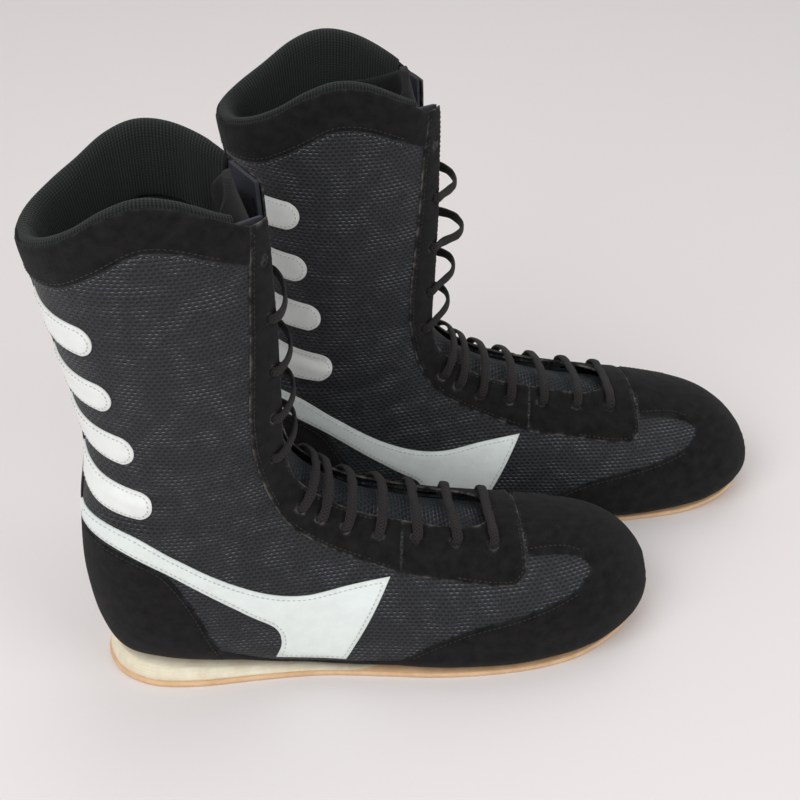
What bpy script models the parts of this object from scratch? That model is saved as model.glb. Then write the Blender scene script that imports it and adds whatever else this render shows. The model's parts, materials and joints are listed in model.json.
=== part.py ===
"""A pair of black high-top boxing boots, standing side by side, as separate solids on their joints.

Each boot is drawn as a right boot, in millimetres: X runs from the back of the heel to the toe, Y to
the inner side of the foot and Z up from the floor. The left boot is the same drawing with Y turned
round. Every layer of the upper is a shell parallel to one lofted surface, cut by outlines that are
drawn in side view.
"""

import math

import bmesh
import bpy
import numpy as np
from mathutils import Matrix, Vector

MM = 0.001
# A distance across, beyond every side of a boot.
FAR = 60.0
GAP = 0.3

# Where each boot stands: x and y of its heel, turn about Z in degrees, forward lean of its shaft.
RIGHT_PLACE = (0.0, 0.0, 7.4, 0.0)
LEFT_PLACE = (71.5, 114.6, 9.1, 2.0)
# How far the outer side of the left shaft is pressed in at the rim, as a share of its half width,
# the sections over which it grows, and the table's column of that width.
LEFT_PRESS = 0.28
PRESS_ROWS = (19, 27)
OUTER_WIDTH = 4

# Sole: a gum outsole of even thickness, and a foam wedge that lifts the heel and runs out at the waist.
OUTSOLE = 3.0
WEDGE_AT_HEEL = 8.0
WEDGE_END_X = 120.0
INSOLE_LIFT = 5.0
BOARD = 1.5
BOARD_INSET = 17.0
FOOTBED = 3.0
FOOTBED_INSET = 13.0
FOOTBED_TOE_INSET = 9.0
FOOTBED_TOE_PLACES = (215.0, 230.0, 245.0, 258.0)
SPRING_START_X = 222.0
TOE_TIP_X = 285.0
TOE_SPRING = 7.5

# Layers of the upper, as depths under the outer surface. Suede and synthetic overlays lie on top.
OVERLAY = 1.0
MESH = 1.8
STIFFENER_DEPTH = MESH + GAP
STIFFENER = 0.8
LINING_DEPTH = STIFFENER_DEPTH + STIFFENER + GAP
LINING = 1.5
TONGUE_DEPTH = LINING_DEPTH + LINING + GAP
TONGUE = 2.5
COLLAR_PAD = 3.0

# Throat: half the gap between the flaps, the eyelet rows and the edge where mesh and lining stop.
FLAP_Y = 15.5
EYELET_Y = 22.0
MESH_EDGE_Y = 26.5
EYELET_RADIUS = 2.8
LACE_RADIUS = 1.3
# Depth of the lace under the flaps, height of its middle over the surface on the flaps, how much
# higher it goes at their edges, and how deep it sags between them.
LACE_UNDER = 3.1
LACE_OVER = GAP + OVERLAY + LACE_RADIUS + 3 * GAP
LACE_LIFT = 0.6
LACE_SAG = 1.0

# Joints: the ankle's cross axis and the ball of the foot, with the wedges that their travel needs.
ANKLE = (52.0, 97.0)
ANKLE_FORWARD = 15.0
ANKLE_BACK = 8.0
BALL = (205.0, 3.6)
BALL_UP = 20.0
TONGUE_AXIS = (92.0, 124.0)
SPARE_ANGLE = 1.0
ANKLE_FRONT_LINE = 8.0
ANKLE_BACK_LINE = 9.0
BALL_LINE = 13.0

# Sections of the outer surface from toe to collar, each a plane between the bottom or back line and
# the top or front line: back x, z, front x, z, outer and inner half width, share of the way to the
# widest place, roundness behind and in front of it, sideways drift.
SECTIONS = np.array((
    (287.5, 19.0, 288.0, 22.0, 3.0, 3.0, 0.50, 2.0, 2.00, 6.0),
    (285.0, 12.0, 286.5, 30.0, 14.0, 14.0, 0.42, 2.4, 2.00, 6.0),
    (279.5, 9.3, 282.0, 38.5, 24.0, 22.5, 0.36, 3.0, 2.00, 5.5),
    (270.5, 7.0, 274.5, 47.0, 33.0, 30.5, 0.33, 3.6, 2.00, 5.0),
    (256.0, 4.9, 262.0, 55.5, 41.0, 38.0, 0.30, 4.4, 2.00, 3.7),
    (238.0, 3.9, 245.0, 62.0, 46.5, 43.0, 0.28, 5.0, 2.00, 2.5),
    (215.0, 3.7, 224.0, 67.0, 49.5, 46.0, 0.26, 5.0, 2.00, 1.5),
    (192.0, 3.7, 203.0, 72.0, 50.0, 46.0, 0.25, 5.0, 1.95, 1.0),
    (168.0, 3.7, 182.0, 78.0, 47.5, 43.5, 0.24, 4.8, 1.90, 0.7),
    (144.0, 3.7, 162.0, 85.0, 43.5, 40.0, 0.24, 4.4, 1.90, 0.5),
    (120.0, 4.0, 144.5, 92.0, 39.5, 37.0, 0.25, 4.2, 1.90, 0.2),
    (97.0, 5.8, 130.5, 98.5, 38.0, 35.5, 0.27, 4.0, 1.95, 0.0),
    (74.0, 7.8, 120.5, 105.0, 37.5, 35.5, 0.29, 3.8, 2.00, 0.0),
    (50.0, 9.9, 113.5, 111.0, 37.5, 36.0, 0.31, 3.6, 2.05, 0.0),
    (27.0, 12.0, 109.0, 116.0, 37.0, 36.0, 0.35, 3.2, 2.10, 0.0),
    (10.0, 16.5, 106.3, 120.5, 36.5, 35.5, 0.40, 2.7, 2.10, 0.0),
    (1.0, 33.0, 104.5, 125.0, 36.0, 35.0, 0.45, 2.3, 2.15, 0.0),
    (-2.5, 56.0, 103.0, 130.0, 35.5, 34.5, 0.47, 2.2, 2.20, 0.0),
    (-2.5, 80.0, 102.0, 136.5, 35.5, 34.5, 0.48, 2.1, 2.20, 0.0),
    (-0.5, 103.0, 101.3, 145.0, 36.0, 35.0, 0.49, 2.1, 2.20, 0.0),
    (3.0, 124.0, 100.8, 155.0, 36.5, 35.5, 0.50, 2.1, 2.25, 0.0),
    (4.5, 143.0, 100.5, 166.0, 37.0, 36.5, 0.50, 2.1, 2.30, 0.0),
    (2.5, 161.0, 100.3, 178.0, 38.0, 37.5, 0.50, 2.1, 2.30, 0.0),
    (-0.5, 180.0, 100.0, 192.0, 39.0, 38.5, 0.50, 2.1, 2.30, 0.0),
    (-4.0, 200.0, 99.6, 208.0, 40.0, 39.5, 0.50, 2.1, 2.30, 0.0),
    (-7.5, 220.0, 99.2, 224.0, 41.0, 40.5, 0.50, 2.1, 2.30, 0.0),
    (-10.5, 236.0, 98.6, 239.0, 42.0, 41.5, 0.50, 2.1, 2.30, 0.0),
    (-12.5, 250.0, 98.0, 252.0, 43.0, 42.5, 0.50, 2.1, 2.30, 0.0),
    (-11.5, 264.0, 97.5, 265.0, 43.0, 42.5, 0.50, 2.1, 2.30, 0.0),
    (-9.0, 282.0, 97.0, 282.0, 42.5, 42.0, 0.50, 2.1, 2.30, 0.0),
))
# The rows of the solids' grid, as section numbers, and its columns, as shares of the way round each
# side from the bottom or back: they crowd where the sides turn under the foot.
ROWS = (0, 1, 2, 3, 4.3, 6, 8, 10, 12, 13.7, 15, 16.5, 18.5, 21, 23.7, 26.2, 29)
COLUMN_SHARES = np.array((0.0, 0.2, 0.34, 0.43, 0.63, 0.82, 1.0))
# The first and last row that each part of the upper is cut from.
TOE_ROWS = (0, 6)
FOOT_ROWS = (4, 13)
HEEL_ROWS = (8, 13)
SHAFT_ROWS = (9, 16)
COLLAR_ROWS = (14, 16)

# Plan of the sole: x, outer edge and inner edge.
SOLE_PLAN = (
    (3.5, -8.0, 8.0), (8.0, -18.5, 17.5), (15.0, -26.0, 25.0), (27.0, -32.5, 31.5),
    (48.0, -35.5, 34.0), (80.0, -35.0, 33.0), (110.0, -35.5, 33.5), (140.0, -40.0, 36.5),
    (170.0, -45.0, 40.5), (198.0, -46.5, 43.0), (222.0, -45.0, 43.0), (243.0, -40.0, 41.5),
    (259.0, -32.0, 37.5), (271.0, -23.0, 32.0), (280.0, -12.0, 24.0), (284.5, -2.0, 15.0),
)

# Outlines in side view, as x and z. They are closed by their last point.
RIM = (
    (-30, 246), (-12, 250), (12, 263), (27, 273), (42, 278), (57, 276), (76, 267), (97, 253), (140, 240),
)
BAND_EDGE = ((-30, 228), (1, 235), (20, 246), (40, 257), (56, 256), (74, 248), (110, 232))
STAY_REAR = (
    (86, 290), (86, 241), (83, 183), (82, 155), (86, 123), (96, 97), (113, 81), (137, 68), (151, 62),
)
COUNTER_FRONT = (
    (-20, 92), (3, 90), (20, 85), (35, 77), (44, 64), (51, 49), (56, 35), (61, 21), (66, 9),
)
RAND_TOP = (
    (66.7, 28.5), (78, 17), (92, 12), (120, 10.5), (150, 12.5), (156, 17), (166, 24), (186, 33), (216, 39),
)
THROAT_PIECE = ((152, 61.6), (176, 57), (207, 52), (213, 53), (216, 57), (217, 90), (152, 100))
STRIPE = (
    (-12, 104), (12, 103), (24, 99), (44, 84.5), (68, 67.5), (88, 58.5), (104, 56), (125, 58.5),
    (146.5, 61), (138, 44), (128, 24), (123, 14.3), (88, 18.5), (91, 28), (89, 37), (76, 47),
    (59, 60), (35, 78.5), (18, 88), (6, 92), (-12, 93),
)
FLAP_ZONE = ((207, 120), (207, 45), (150, 48), (105, 62), (80, 95), (66, 130), (66, 320), (150, 320))
WINDOW = ((196, 36), (206, 37), (227, 41), (242, 44), (250, 48), (250, 52), (241, 56), (215, 90), (196, 90))
WINDOW_Y = 19.0
STIFFENER_ZONE = ((-20, 72), (30, 62), (46, 44), (48, 22), (-20, 22))
PUFF_ZONE = ((258, 14), (258, 70), (300, 70), (300, 14))
TONGUE_BASE_ZONE = (
    (205, 110), (205, 40), (150, 48), (112, 62), (97, 85), (92, 90), (92, 104), (100, 150),
)
TONGUE_ZONE = ((76, 120), (74, 268), (84, 264), (120, 258), (120, 123))
TONGUE_Y = 27.0
PADDING_ZONE = (
    (-30, 226), (1, 233), (20, 244), (40, 255), (64, 251), (64, 271), (57, 274), (42, 276),
    (27, 271), (12, 261), (-12, 248), (-30, 244),
)

# Eyelet rows, as section numbers: seven from the toe end to the ankle, four laced ones on the shaft,
# and the empty top one.
FOOT_EYELETS = (7.1, 8.0, 8.95, 9.95, 11.0, 12.1, 13.2)
SHAFT_EYELETS = (18.1, 20.2, 22.3, 24.1)
TOP_EYELET = 26.0

# Colour and roughness of each material.
MATERIALS = {
    "mesh": ((0.012, 0.016, 0.018), 0.8),
    "suede": ((0.006, 0.006, 0.006), 0.95),
    "synthetic": ((0.75, 0.79, 0.81), 0.45),
    "knit": ((0.02, 0.024, 0.023), 0.9),
    "board": ((0.35, 0.27, 0.18), 0.8),
    "foam": ((0.83, 0.78, 0.62), 0.7),
    "gum": ((0.72, 0.5, 0.3), 0.55),
    "lace": ((0.012, 0.011, 0.011), 0.85),
    "stiffener": ((0.5, 0.5, 0.48), 0.6),
}


def section(number):
    """The numbers of the section at a place between those of the table, on a smooth curve."""
    place = min(max(number, 0.0), len(SECTIONS) - 1.0)
    first = min(int(place), len(SECTIONS) - 2)
    part = place - first
    last = len(SECTIONS) - 1
    a, b, c, d = (SECTIONS[min(max(first + k, 0), last)] for k in (-1, 0, 1, 2))
    turn = 2 * a - 5 * b + 4 * c - d
    return 0.5 * (2 * b + (c - a) * part + turn * part**2 + (3 * b - 3 * c + d - a) * part**3)


def contour(row, side, angle):
    """A point of a section: angle 0 is its bottom or back, and pi its top or front."""
    back_x, back_z, front_x, front_z, outer, inner, widest, round_back, round_front, drift = row
    cosine, sine = math.cos(angle), math.sin(angle)
    power = 2 / (round_back if cosine > 0 else round_front)
    reach = abs(cosine) ** power
    share = widest * (1 - reach) if cosine > 0 else widest + (1 - widest) * reach
    half = outer if side < 0 else inner
    across = side * half * max(sine, 0.0) ** power + drift
    return np.array((back_x + (front_x - back_x) * share, across, back_z + (front_z - back_z) * share))


def half_ring(row, side):
    """The grid's points along one half of a section, from its bottom or back to its top or front."""
    fine = np.array([contour(row, side, angle) for angle in np.linspace(0, math.pi, 181)])
    length = np.concatenate(((0.0,), np.cumsum(np.linalg.norm(np.diff(fine, axis=0), axis=1))))
    stops = length[-1] * COLUMN_SHARES
    return np.stack([np.interp(stops, length, fine[:, axis]) for axis in range(3)], 1)


def surface_rows():
    """The rings of the outer surface, from toe to collar, and their outward normals."""
    rings = []
    for number in ROWS:
        row = section(number)
        rings.append(np.concatenate((half_ring(row, -1), half_ring(row, 1)[-2:0:-1])))
    rings = np.array(rings)
    around = np.roll(rings, -1, axis=1) - np.roll(rings, 1, axis=1)
    along = np.gradient(rings, axis=0)
    normals = np.cross(around, along)
    normals /= np.linalg.norm(normals, axis=2, keepdims=True)
    return rings, normals


def top_point(number, across):
    """The point of a section's top or front at a distance across."""
    row = section(number)
    side = -1 if across < row[9] else 1
    half = row[4] if side < 0 else row[5]
    sine = min(abs(across - row[9]) / half, 1.0) ** (row[8] / 2)
    return contour(row, side, math.pi - math.asin(sine))


def skin(number, across, depth):
    """A point at a depth under the top or front of the upper, and the outward normal there."""
    point = top_point(number, across)
    along = top_point(number + 0.2, across) - top_point(number - 0.2, across)
    crosswise = top_point(number, across + 1) - top_point(number, across - 1)
    normal = np.cross(along, crosswise)
    normal /= -np.linalg.norm(normal)
    return point - normal * depth, normal


def wedge_top(x):
    """Height of the foam wedge's top over the floor."""
    heel_x = SOLE_PLAN[3][0]
    share = (WEDGE_END_X - x) / (WEDGE_END_X - heel_x)
    return OUTSOLE + GAP + WEDGE_AT_HEEL * min(max(share, 0.0), 1.0)


def sole_low(x):
    """Height of the outsole's underside, which curls up at the toe."""
    share = max(x - SPRING_START_X, 0.0) / (TOE_TIP_X - SPRING_START_X)
    return TOE_SPRING * share**3


def sole_top(x):
    """Height of the top of the whole sole."""
    return max(wedge_top(x), sole_low(x) + OUTSOLE) if x < WEDGE_END_X else sole_low(x) + OUTSOLE


def insole_low(x):
    """Height of the inside of the shoe over the sole, above the upper's turned-in edge and the lining."""
    return sole_top(x) + TONGUE_DEPTH + INSOLE_LIFT


def sole_edges(x):
    """Outer and inner edge of the sole at a place along it."""
    places, outer, inner = zip(*SOLE_PLAN)
    return np.interp(x, places, outer), np.interp(x, places, inner)


def collection(name):
    made = bpy.data.collections.new(name)
    bpy.context.scene.collection.children.link(made)
    return made


def material(name, kind):
    """A piece's own material, in the colour and roughness of its kind."""
    colour, roughness = MATERIALS[kind]
    made = bpy.data.materials.new(name)
    made.use_nodes = True
    shader = made.node_tree.nodes["Principled BSDF"]
    shader.inputs["Base Color"].default_value = (*colour, 1.0)
    shader.inputs["Roughness"].default_value = roughness
    return made


def pressed(depth):
    """The sections with the outer side of the shaft pressed in towards the rim by a share of its width."""
    rows = np.clip((np.arange(len(EVEN_SECTIONS)) - PRESS_ROWS[0]) / (PRESS_ROWS[1] - PRESS_ROWS[0]), 0, 1)
    made = EVEN_SECTIONS.copy()
    made[:, OUTER_WIDTH] *= 1 - depth * rows**2 * (3 - 2 * rows)
    return made


class Boot:
    """One boot: its side, its bodies' empties and the objects made for it."""

    def __init__(self, name, mirror, place):
        self.name = name
        self.mirror = mirror
        x, y, turn, lean = place
        self.foot = self.empty("foot", None, (x, y, 0), (0, 0, math.radians(turn)))
        self.ankle = self.empty("ankle", self.foot, (ANKLE[0], 0, ANKLE[1]), (0, math.radians(lean), 0))
        self.ball = self.empty("ball", self.foot, (BALL[0], 0, BALL[1]))
        self.tongue_hinge = self.empty("tongue_hinge", self.ankle, self.from_ankle(TONGUE_AXIS))
        self.pivots = {
            self.foot: (0, 0, 0),
            self.ankle: (ANKLE[0], 0, ANKLE[1]),
            self.ball: (BALL[0], 0, BALL[1]),
            self.tongue_hinge: (TONGUE_AXIS[0], 0, TONGUE_AXIS[1]),
        }

    @staticmethod
    def from_ankle(place):
        return (place[0] - ANKLE[0], 0, place[1] - ANKLE[1])

    def empty(self, name, parent, place, turn=(0, 0, 0)):
        made = bpy.data.objects.new(f"{self.name}_{name}_axis", None)
        PARTS.objects.link(made)
        made.parent = parent
        made.location = Vector(place) * MM
        made.rotation_euler = turn
        return made

    def add(self, name, kind, body, points, faces, cutter=False):
        """An object from points in the boot's own millimetres, on one of its bodies."""
        flip = -1 if self.mirror else 1
        pivot = Vector(self.pivots[body])
        mesh = bpy.data.meshes.new(f"{self.name}_{name}")
        moved = [(Vector((p[0], flip * p[1], p[2])) - pivot) * MM for p in points]
        mesh.from_pydata(moved, [], [tuple(face[::flip]) for face in faces])
        mesh.update()
        made = bpy.data.objects.new(f"{self.name}_{name}", mesh)
        made.parent = body
        if cutter:
            CUTTERS.objects.link(made)
            made.hide_render = True
            made.display_type = "WIRE"
        else:
            PARTS.objects.link(made)
            mesh.materials.append(material(f"{self.name}_{name}", kind))
        return made

    def prism(self, name, body, outline, low_y, high_y):
        """A cutter: a side-view outline drawn out sideways between two distances across."""
        area = sum(a[0] * b[1] - b[0] * a[1] for a, b in zip(outline, outline[1:] + outline[:1]))
        ring = outline if area > 0 else outline[::-1]
        count = len(ring)
        points = [(x, y, z) for y in (low_y, high_y) for x, z in ring]
        walls = [(k, count + k, count + (k + 1) % count, (k + 1) % count) for k in range(count)]
        caps = [tuple(range(count)), tuple(range(2 * count - 1, count - 1, -1))]
        return self.add(f"{name}_cutter", None, body, points, caps + walls, cutter=True)

    def cut(self, target, operation, body, *shapes):
        """Cuts an object by prisms given as (outline, low y, high y)."""
        for number, (outline, low_y, high_y) in enumerate(shapes):
            name = f"{target.name.removeprefix(self.name + '_')}_{operation}_{number}".lower()
            cutter = self.prism(name, body, tuple(outline), low_y, high_y)
            boolean = target.modifiers.new(name, "BOOLEAN")
            boolean.operation = operation
            boolean.object = cutter

    def shell(self, name, kind, body, rows, depth, thickness, keep, drop=()):
        """A layer of the upper: a loft parallel to its surface with Solidify, cut by outlines."""
        first, last = rows
        rings = (RINGS - NORMALS * depth)[first : last + 1].reshape(-1, 3)
        count = RINGS.shape[1]
        faces = [tuple(range(count - 1, -1, -1))] if first == 0 else []
        for row in range(last - first):
            for k in range(count):
                a, b = row * count + k, row * count + (k + 1) % count
                c, d = b + count, a + count
                faces += [(a, b, c), (a, c, d)]
        made = self.add(name, kind, body, rings, faces)
        solidify = made.modifiers.new("thickness", "SOLIDIFY")
        solidify.thickness = thickness * MM
        solidify.offset = -1
        self.cut(made, "INTERSECT", body, *keep)
        self.cut(made, "DIFFERENCE", body, *drop)
        return made

    def overlay(self, name, kind, body, rows, keep, drop=()):
        """A suede or synthetic piece that lies on the mesh, with the usual gap under it."""
        return self.shell(name, kind, body, rows, -GAP - OVERLAY, OVERLAY, keep, drop)

    def slab(self, name, kind, body, places, inset, low, high):
        """A sole layer: cross sections along its length, between two heights that may change."""
        points = []
        for x in places:
            outer, inner = sole_edges(x)
            for z in (low(x), high(x)):
                points += [(x, outer + inset, z), (x, inner - inset, z)]
        faces = [(0, 2, 3, 1)]
        for row in range(len(places) - 1):
            a, b = 4 * row, 4 * row + 4
            faces += [(a, a + 1, b + 1, b), (a + 2, b + 2, b + 3, a + 3)]
            faces += [(a, b, b + 2, a + 2), (a + 1, a + 3, b + 3, b + 1)]
        last = 4 * (len(places) - 1)
        faces.append((last, last + 1, last + 3, last + 2))
        return self.add(name, kind, body, points, faces)

    def punch(self, target, body, numbers, sides):
        """Cuts eyelets through a flap, each a short cylinder square to the surface."""
        for number, side in [(number, side) for number in numbers for side in sides]:
            centre, normal = skin(number, side * EYELET_Y, -GAP - OVERLAY / 2)
            if self.mirror:
                centre, normal = centre * (1, -1, 1), normal * (1, -1, 1)
            mesh = bpy.data.meshes.new("eyelet")
            shape = bmesh.new()
            bmesh.ops.create_cone(
                shape, cap_ends=True, segments=6, radius1=EYELET_RADIUS * MM, radius2=EYELET_RADIUS * MM,
                depth=4 * OVERLAY * MM,
            )
            shape.to_mesh(mesh)
            shape.free()
            cutter = bpy.data.objects.new(f"{target.name}_eyelet_cutter", mesh)
            CUTTERS.objects.link(cutter)
            cutter.hide_render = True
            cutter.display_type = "WIRE"
            cutter.parent = body
            turn = Vector(normal).to_track_quat("Z", "Y").to_matrix().to_4x4()
            cutter.matrix_local = Matrix.Translation((Vector(centre) - Vector(self.pivots[body])) * MM) @ turn
            boolean = target.modifiers.new(cutter.name, "BOOLEAN")
            boolean.operation = "DIFFERENCE"
            boolean.object = cutter

    def lace(self, name, body, numbers, first_side, tail):
        """A lace that crosses at each row of eyelets and climbs under a flap to the next row."""
        points = []
        side = first_side
        for number in numbers:
            route = [(EYELET_Y, LACE_UNDER), (EYELET_Y, -LACE_OVER), (FLAP_Y, -LACE_OVER - LACE_LIFT)]
            bar = [(side * across, depth) for across, depth in route]
            bar += [(0.0, LACE_SAG)] + [(-across, depth) for across, depth in bar[::-1]]
            points += [skin(number, across, depth)[0] for across, depth in bar]
            side = -side
        points.append(skin(tail, side * EYELET_Y, LACE_UNDER)[0])
        flip = -1 if self.mirror else 1
        curve = bpy.data.curves.new(f"{self.name}_{name}", "CURVE")
        curve.dimensions = "3D"
        curve.bevel_depth = LACE_RADIUS * MM
        curve.bevel_resolution = 2
        curve.use_fill_caps = True
        spline = curve.splines.new("POLY")
        spline.points.add(len(points) - 1)
        pivot = Vector(self.pivots[body])
        for spot, point in zip(spline.points, points):
            place = (Vector((point[0], flip * point[1], point[2])) - pivot) * MM
            spot.co = (*place, 1.0)
        made = bpy.data.objects.new(f"{self.name}_{name}", curve)
        made.parent = body
        PARTS.objects.link(made)
        curve.materials.append(material(f"{self.name}_{name}", "lace"))
        return made


def line_point(start, degrees, reach, forward=1):
    """The point a reach along X from a start, on a line that climbs at an angle."""
    return (start[0] + forward * reach, start[1] + reach * math.tan(math.radians(degrees)))


def ball_line(degrees, height):
    """The point at a height on a line that leans forward from the ball's axis."""
    return (BALL[0] + (height - BALL[1]) * math.tan(math.radians(degrees)), height)


FOOT_ZONE = (
    (-40.0, -5.0), (BALL[0] - GAP, -5.0), (BALL[0] - GAP, BALL[1]), ball_line(BALL_LINE, 110),
    line_point(ANKLE, ANKLE_FRONT_LINE, 100), ANKLE, line_point(ANKLE, ANKLE_BACK_LINE, 92, -1),
)
TOE_ZONE = (
    (BALL[0] + GAP, -5.0), (300.0, -5.0), (300.0, 90.0),
    ball_line(BALL_LINE + BALL_UP + SPARE_ANGLE, 90), (BALL[0] + GAP, BALL[1]),
)
SHAFT_LOW = (ANKLE[0], ANKLE[1] + 2 * GAP)
SHAFT_FRONT = line_point(SHAFT_LOW, ANKLE_FRONT_LINE + ANKLE_FORWARD + SPARE_ANGLE, 88)
SHAFT_BACK = line_point(SHAFT_LOW, ANKLE_BACK_LINE + ANKLE_BACK + SPARE_ANGLE, 92, -1)
SHAFT_ZONE = (SHAFT_BACK, SHAFT_LOW, SHAFT_FRONT, *RIM[::-1])
FOOT = (FOOT_ZONE, -FAR, FAR)
TOE = (TOE_ZONE, -FAR, FAR)
SHAFT = (SHAFT_ZONE, -FAR, FAR)
BOTH = (-FAR, FAR)
SIDES = (("outer", -1, (-FAR, 0.0)), ("inner", 1, (0.0, FAR)))


def low_edge(first_x, last_x, lift=0.5):
    """The line just over the sole that ends the overlays, as side-view points."""
    return [(x, sole_top(x) + lift) for x in np.linspace(first_x, last_x, 8)]


def build_foot(boot):
    """The pieces of the foot from the heel to the ball, and the lower half of the lacing."""
    body = boot.foot
    heel_places = [x for x, _, _ in SOLE_PLAN if x < BALL[0]] + [BALL[0] - GAP]
    boot.slab("outsole", "gum", body, heel_places, 0, sole_low, lambda x: sole_low(x) + OUTSOLE)
    wedge_places = [x for x in heel_places if x < WEDGE_END_X] + [WEDGE_END_X - 4]
    boot.slab("midsole", "foam", body, wedge_places, 0.5, lambda x: OUTSOLE + GAP, wedge_top)
    inside = [x for x in heel_places if 40 < x < BALL[0] - 1]
    boot.slab(
        "insole_board", "board", body, inside, BOARD_INSET, insole_low, lambda x: insole_low(x) + BOARD,
    )
    footbed_low = BOARD + GAP
    boot.slab(
        "footbed", "knit", body, inside, FOOTBED_INSET,
        lambda x: insole_low(x) + footbed_low, lambda x: insole_low(x) + footbed_low + FOOTBED,
    )
    mesh_slot = (FLAP_ZONE, -MESH_EDGE_Y, MESH_EDGE_Y)
    flap_slot = (FLAP_ZONE, -FLAP_Y, FLAP_Y)
    boot.shell("mesh_quarter", "mesh", body, FOOT_ROWS, 0, MESH, [FOOT], [mesh_slot])
    boot.shell("lining_foot", "knit", body, FOOT_ROWS, LINING_DEPTH, LINING, [FOOT], [mesh_slot])
    boot.shell(
        "heel_stiffener", "stiffener", body, HEEL_ROWS, STIFFENER_DEPTH, STIFFENER,
        [(STIFFENER_ZONE, *BOTH)],
    )
    counter = [*COUNTER_FRONT, *low_edge(66, 8)]
    boot.overlay("heel_counter", "suede", body, HEEL_ROWS, [([*counter, (-20, counter[-1][1])], *BOTH)])
    rand = [*RAND_TOP, (216, 3), *low_edge(204, 67)]
    stay = [*STAY_REAR[3:], (151.6, 61.5), (151.6, 130), (86, 150)]
    for side, sign, reach in SIDES:
        boot.overlay(f"rand_{side}", "suede", body, FOOT_ROWS, [(rand, *reach), FOOT])
        flap = boot.overlay(
            f"eyestay_foot_{side}", "suede", body, FOOT_ROWS, [(stay, *reach), FOOT], [flap_slot]
        )
        boot.punch(flap, body, FOOT_EYELETS[3:], (sign,))
        boot.overlay(f"stripe_{side}", "synthetic", body, FOOT_ROWS, [(STRIPE, *reach)])
    throat = boot.overlay(
        "throat_piece", "suede", body, FOOT_ROWS, [(THROAT_PIECE, *BOTH), FOOT], [flap_slot],
    )
    boot.punch(throat, body, FOOT_EYELETS[:3], (-1, 1))
    boot.shell(
        "tongue_base", "knit", body, FOOT_ROWS, TONGUE_DEPTH, TONGUE,
        [(TONGUE_BASE_ZONE, -TONGUE_Y, TONGUE_Y), FOOT],
    )
    boot.lace("lace_foot", body, FOOT_EYELETS, -1, FOOT_EYELETS[-1] + 0.6)


def build_toe(boot):
    """The pieces ahead of the ball of the foot, which bend up together."""
    body = boot.ball
    toe_places = [BALL[0] + GAP] + [x for x, _, _ in SOLE_PLAN if x > BALL[0]]
    boot.slab("outsole_toe", "gum", body, toe_places, 0, sole_low, lambda x: sole_low(x) + OUTSOLE)
    boot.slab(
        "footbed_toe", "knit", body, FOOTBED_TOE_PLACES, FOOTBED_TOE_INSET,
        insole_low, lambda x: insole_low(x) + FOOTBED,
    )
    boot.shell("mesh_vamp", "mesh", body, TOE_ROWS, 0, MESH, [TOE])
    cap = [(x, z) for x, z in low_edge(206, 288)] + [(300, 14), (300, 80), (206, 80)]
    windows = [(WINDOW, -FAR, -WINDOW_Y), (WINDOW, WINDOW_Y, FAR)]
    boot.overlay("toe_cap", "suede", body, TOE_ROWS, [(cap, *BOTH), TOE], windows)
    boot.shell("toe_puff", "stiffener", body, TOE_ROWS, STIFFENER_DEPTH, STIFFENER, [(PUFF_ZONE, *BOTH)])


def build_shaft(boot):
    """The pieces over the ankle, and the upper half of the lacing."""
    body = boot.ankle
    mesh_slot = (FLAP_ZONE, -MESH_EDGE_Y, MESH_EDGE_Y)
    flap_slot = (FLAP_ZONE, -FLAP_Y, FLAP_Y)
    boot.shell("mesh_shaft", "mesh", body, SHAFT_ROWS, 0, MESH, [SHAFT], [mesh_slot])
    boot.shell("lining_shaft", "knit", body, SHAFT_ROWS, LINING_DEPTH, LINING, [SHAFT], [mesh_slot])
    stay = [(85.5, 290), *STAY_REAR[1:5], (88, 110), (150, 110), (150, 290)]
    band = [*RIM[:-2], (83.8, 262), (83.8, 243.2), *BAND_EDGE[-2::-1]]
    boot.overlay("collar_band", "suede", body, COLLAR_ROWS, [(band, *BOTH)])
    boot.shell("collar_padding", "foam", body, COLLAR_ROWS, TONGUE_DEPTH, COLLAR_PAD, [(PADDING_ZONE, *BOTH)])
    for side, sign, reach in SIDES:
        flap = boot.overlay(
            f"eyestay_shaft_{side}", "suede", body, SHAFT_ROWS, [(stay, *reach), SHAFT], [flap_slot]
        )
        boot.punch(flap, body, (*SHAFT_EYELETS, TOP_EYELET), (sign,))
    boot.lace("lace_shaft", body, SHAFT_EYELETS, 1, SHAFT_EYELETS[-1] + 1.0)
    boot.shell(
        "tongue", "knit", boot.tongue_hinge, SHAFT_ROWS, TONGUE_DEPTH, TONGUE,
        [(TONGUE_ZONE, -TONGUE_Y, TONGUE_Y)],
    )


def centre_pair():
    """Moves both boots so that the middle of the pair's box is over the origin."""
    bpy.context.view_layer.update()
    graph = bpy.context.evaluated_depsgraph_get()
    corners = []
    for piece in PARTS.objects:
        if piece.type != "EMPTY":
            solid = piece.evaluated_get(graph)
            mesh = solid.to_mesh()
            corners += [solid.matrix_world @ vertex.co for vertex in mesh.vertices]
            solid.to_mesh_clear()
    corners = np.array(corners)
    middle = (corners.min(axis=0) + corners.max(axis=0)) / 2
    for boot in BOOTS:
        boot.foot.location.x -= middle[0]
        boot.foot.location.y -= middle[1]


for old in list(bpy.data.objects):
    bpy.data.objects.remove(old, do_unlink=True)
PARTS = collection("boxing_boots")
CUTTERS = collection("cutters")
CUTTERS.hide_render = True
EVEN_SECTIONS = np.array(SECTIONS)
BOOTS = [Boot("right", False, RIGHT_PLACE), Boot("left", True, LEFT_PLACE)]
for each, press in zip(BOOTS, (0.0, LEFT_PRESS)):
    # The surface of the boot that is being built.
    SECTIONS = pressed(press)
    RINGS, NORMALS = surface_rows()
    build_foot(each)
    build_toe(each)
    build_shaft(each)
centre_pair()
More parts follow.
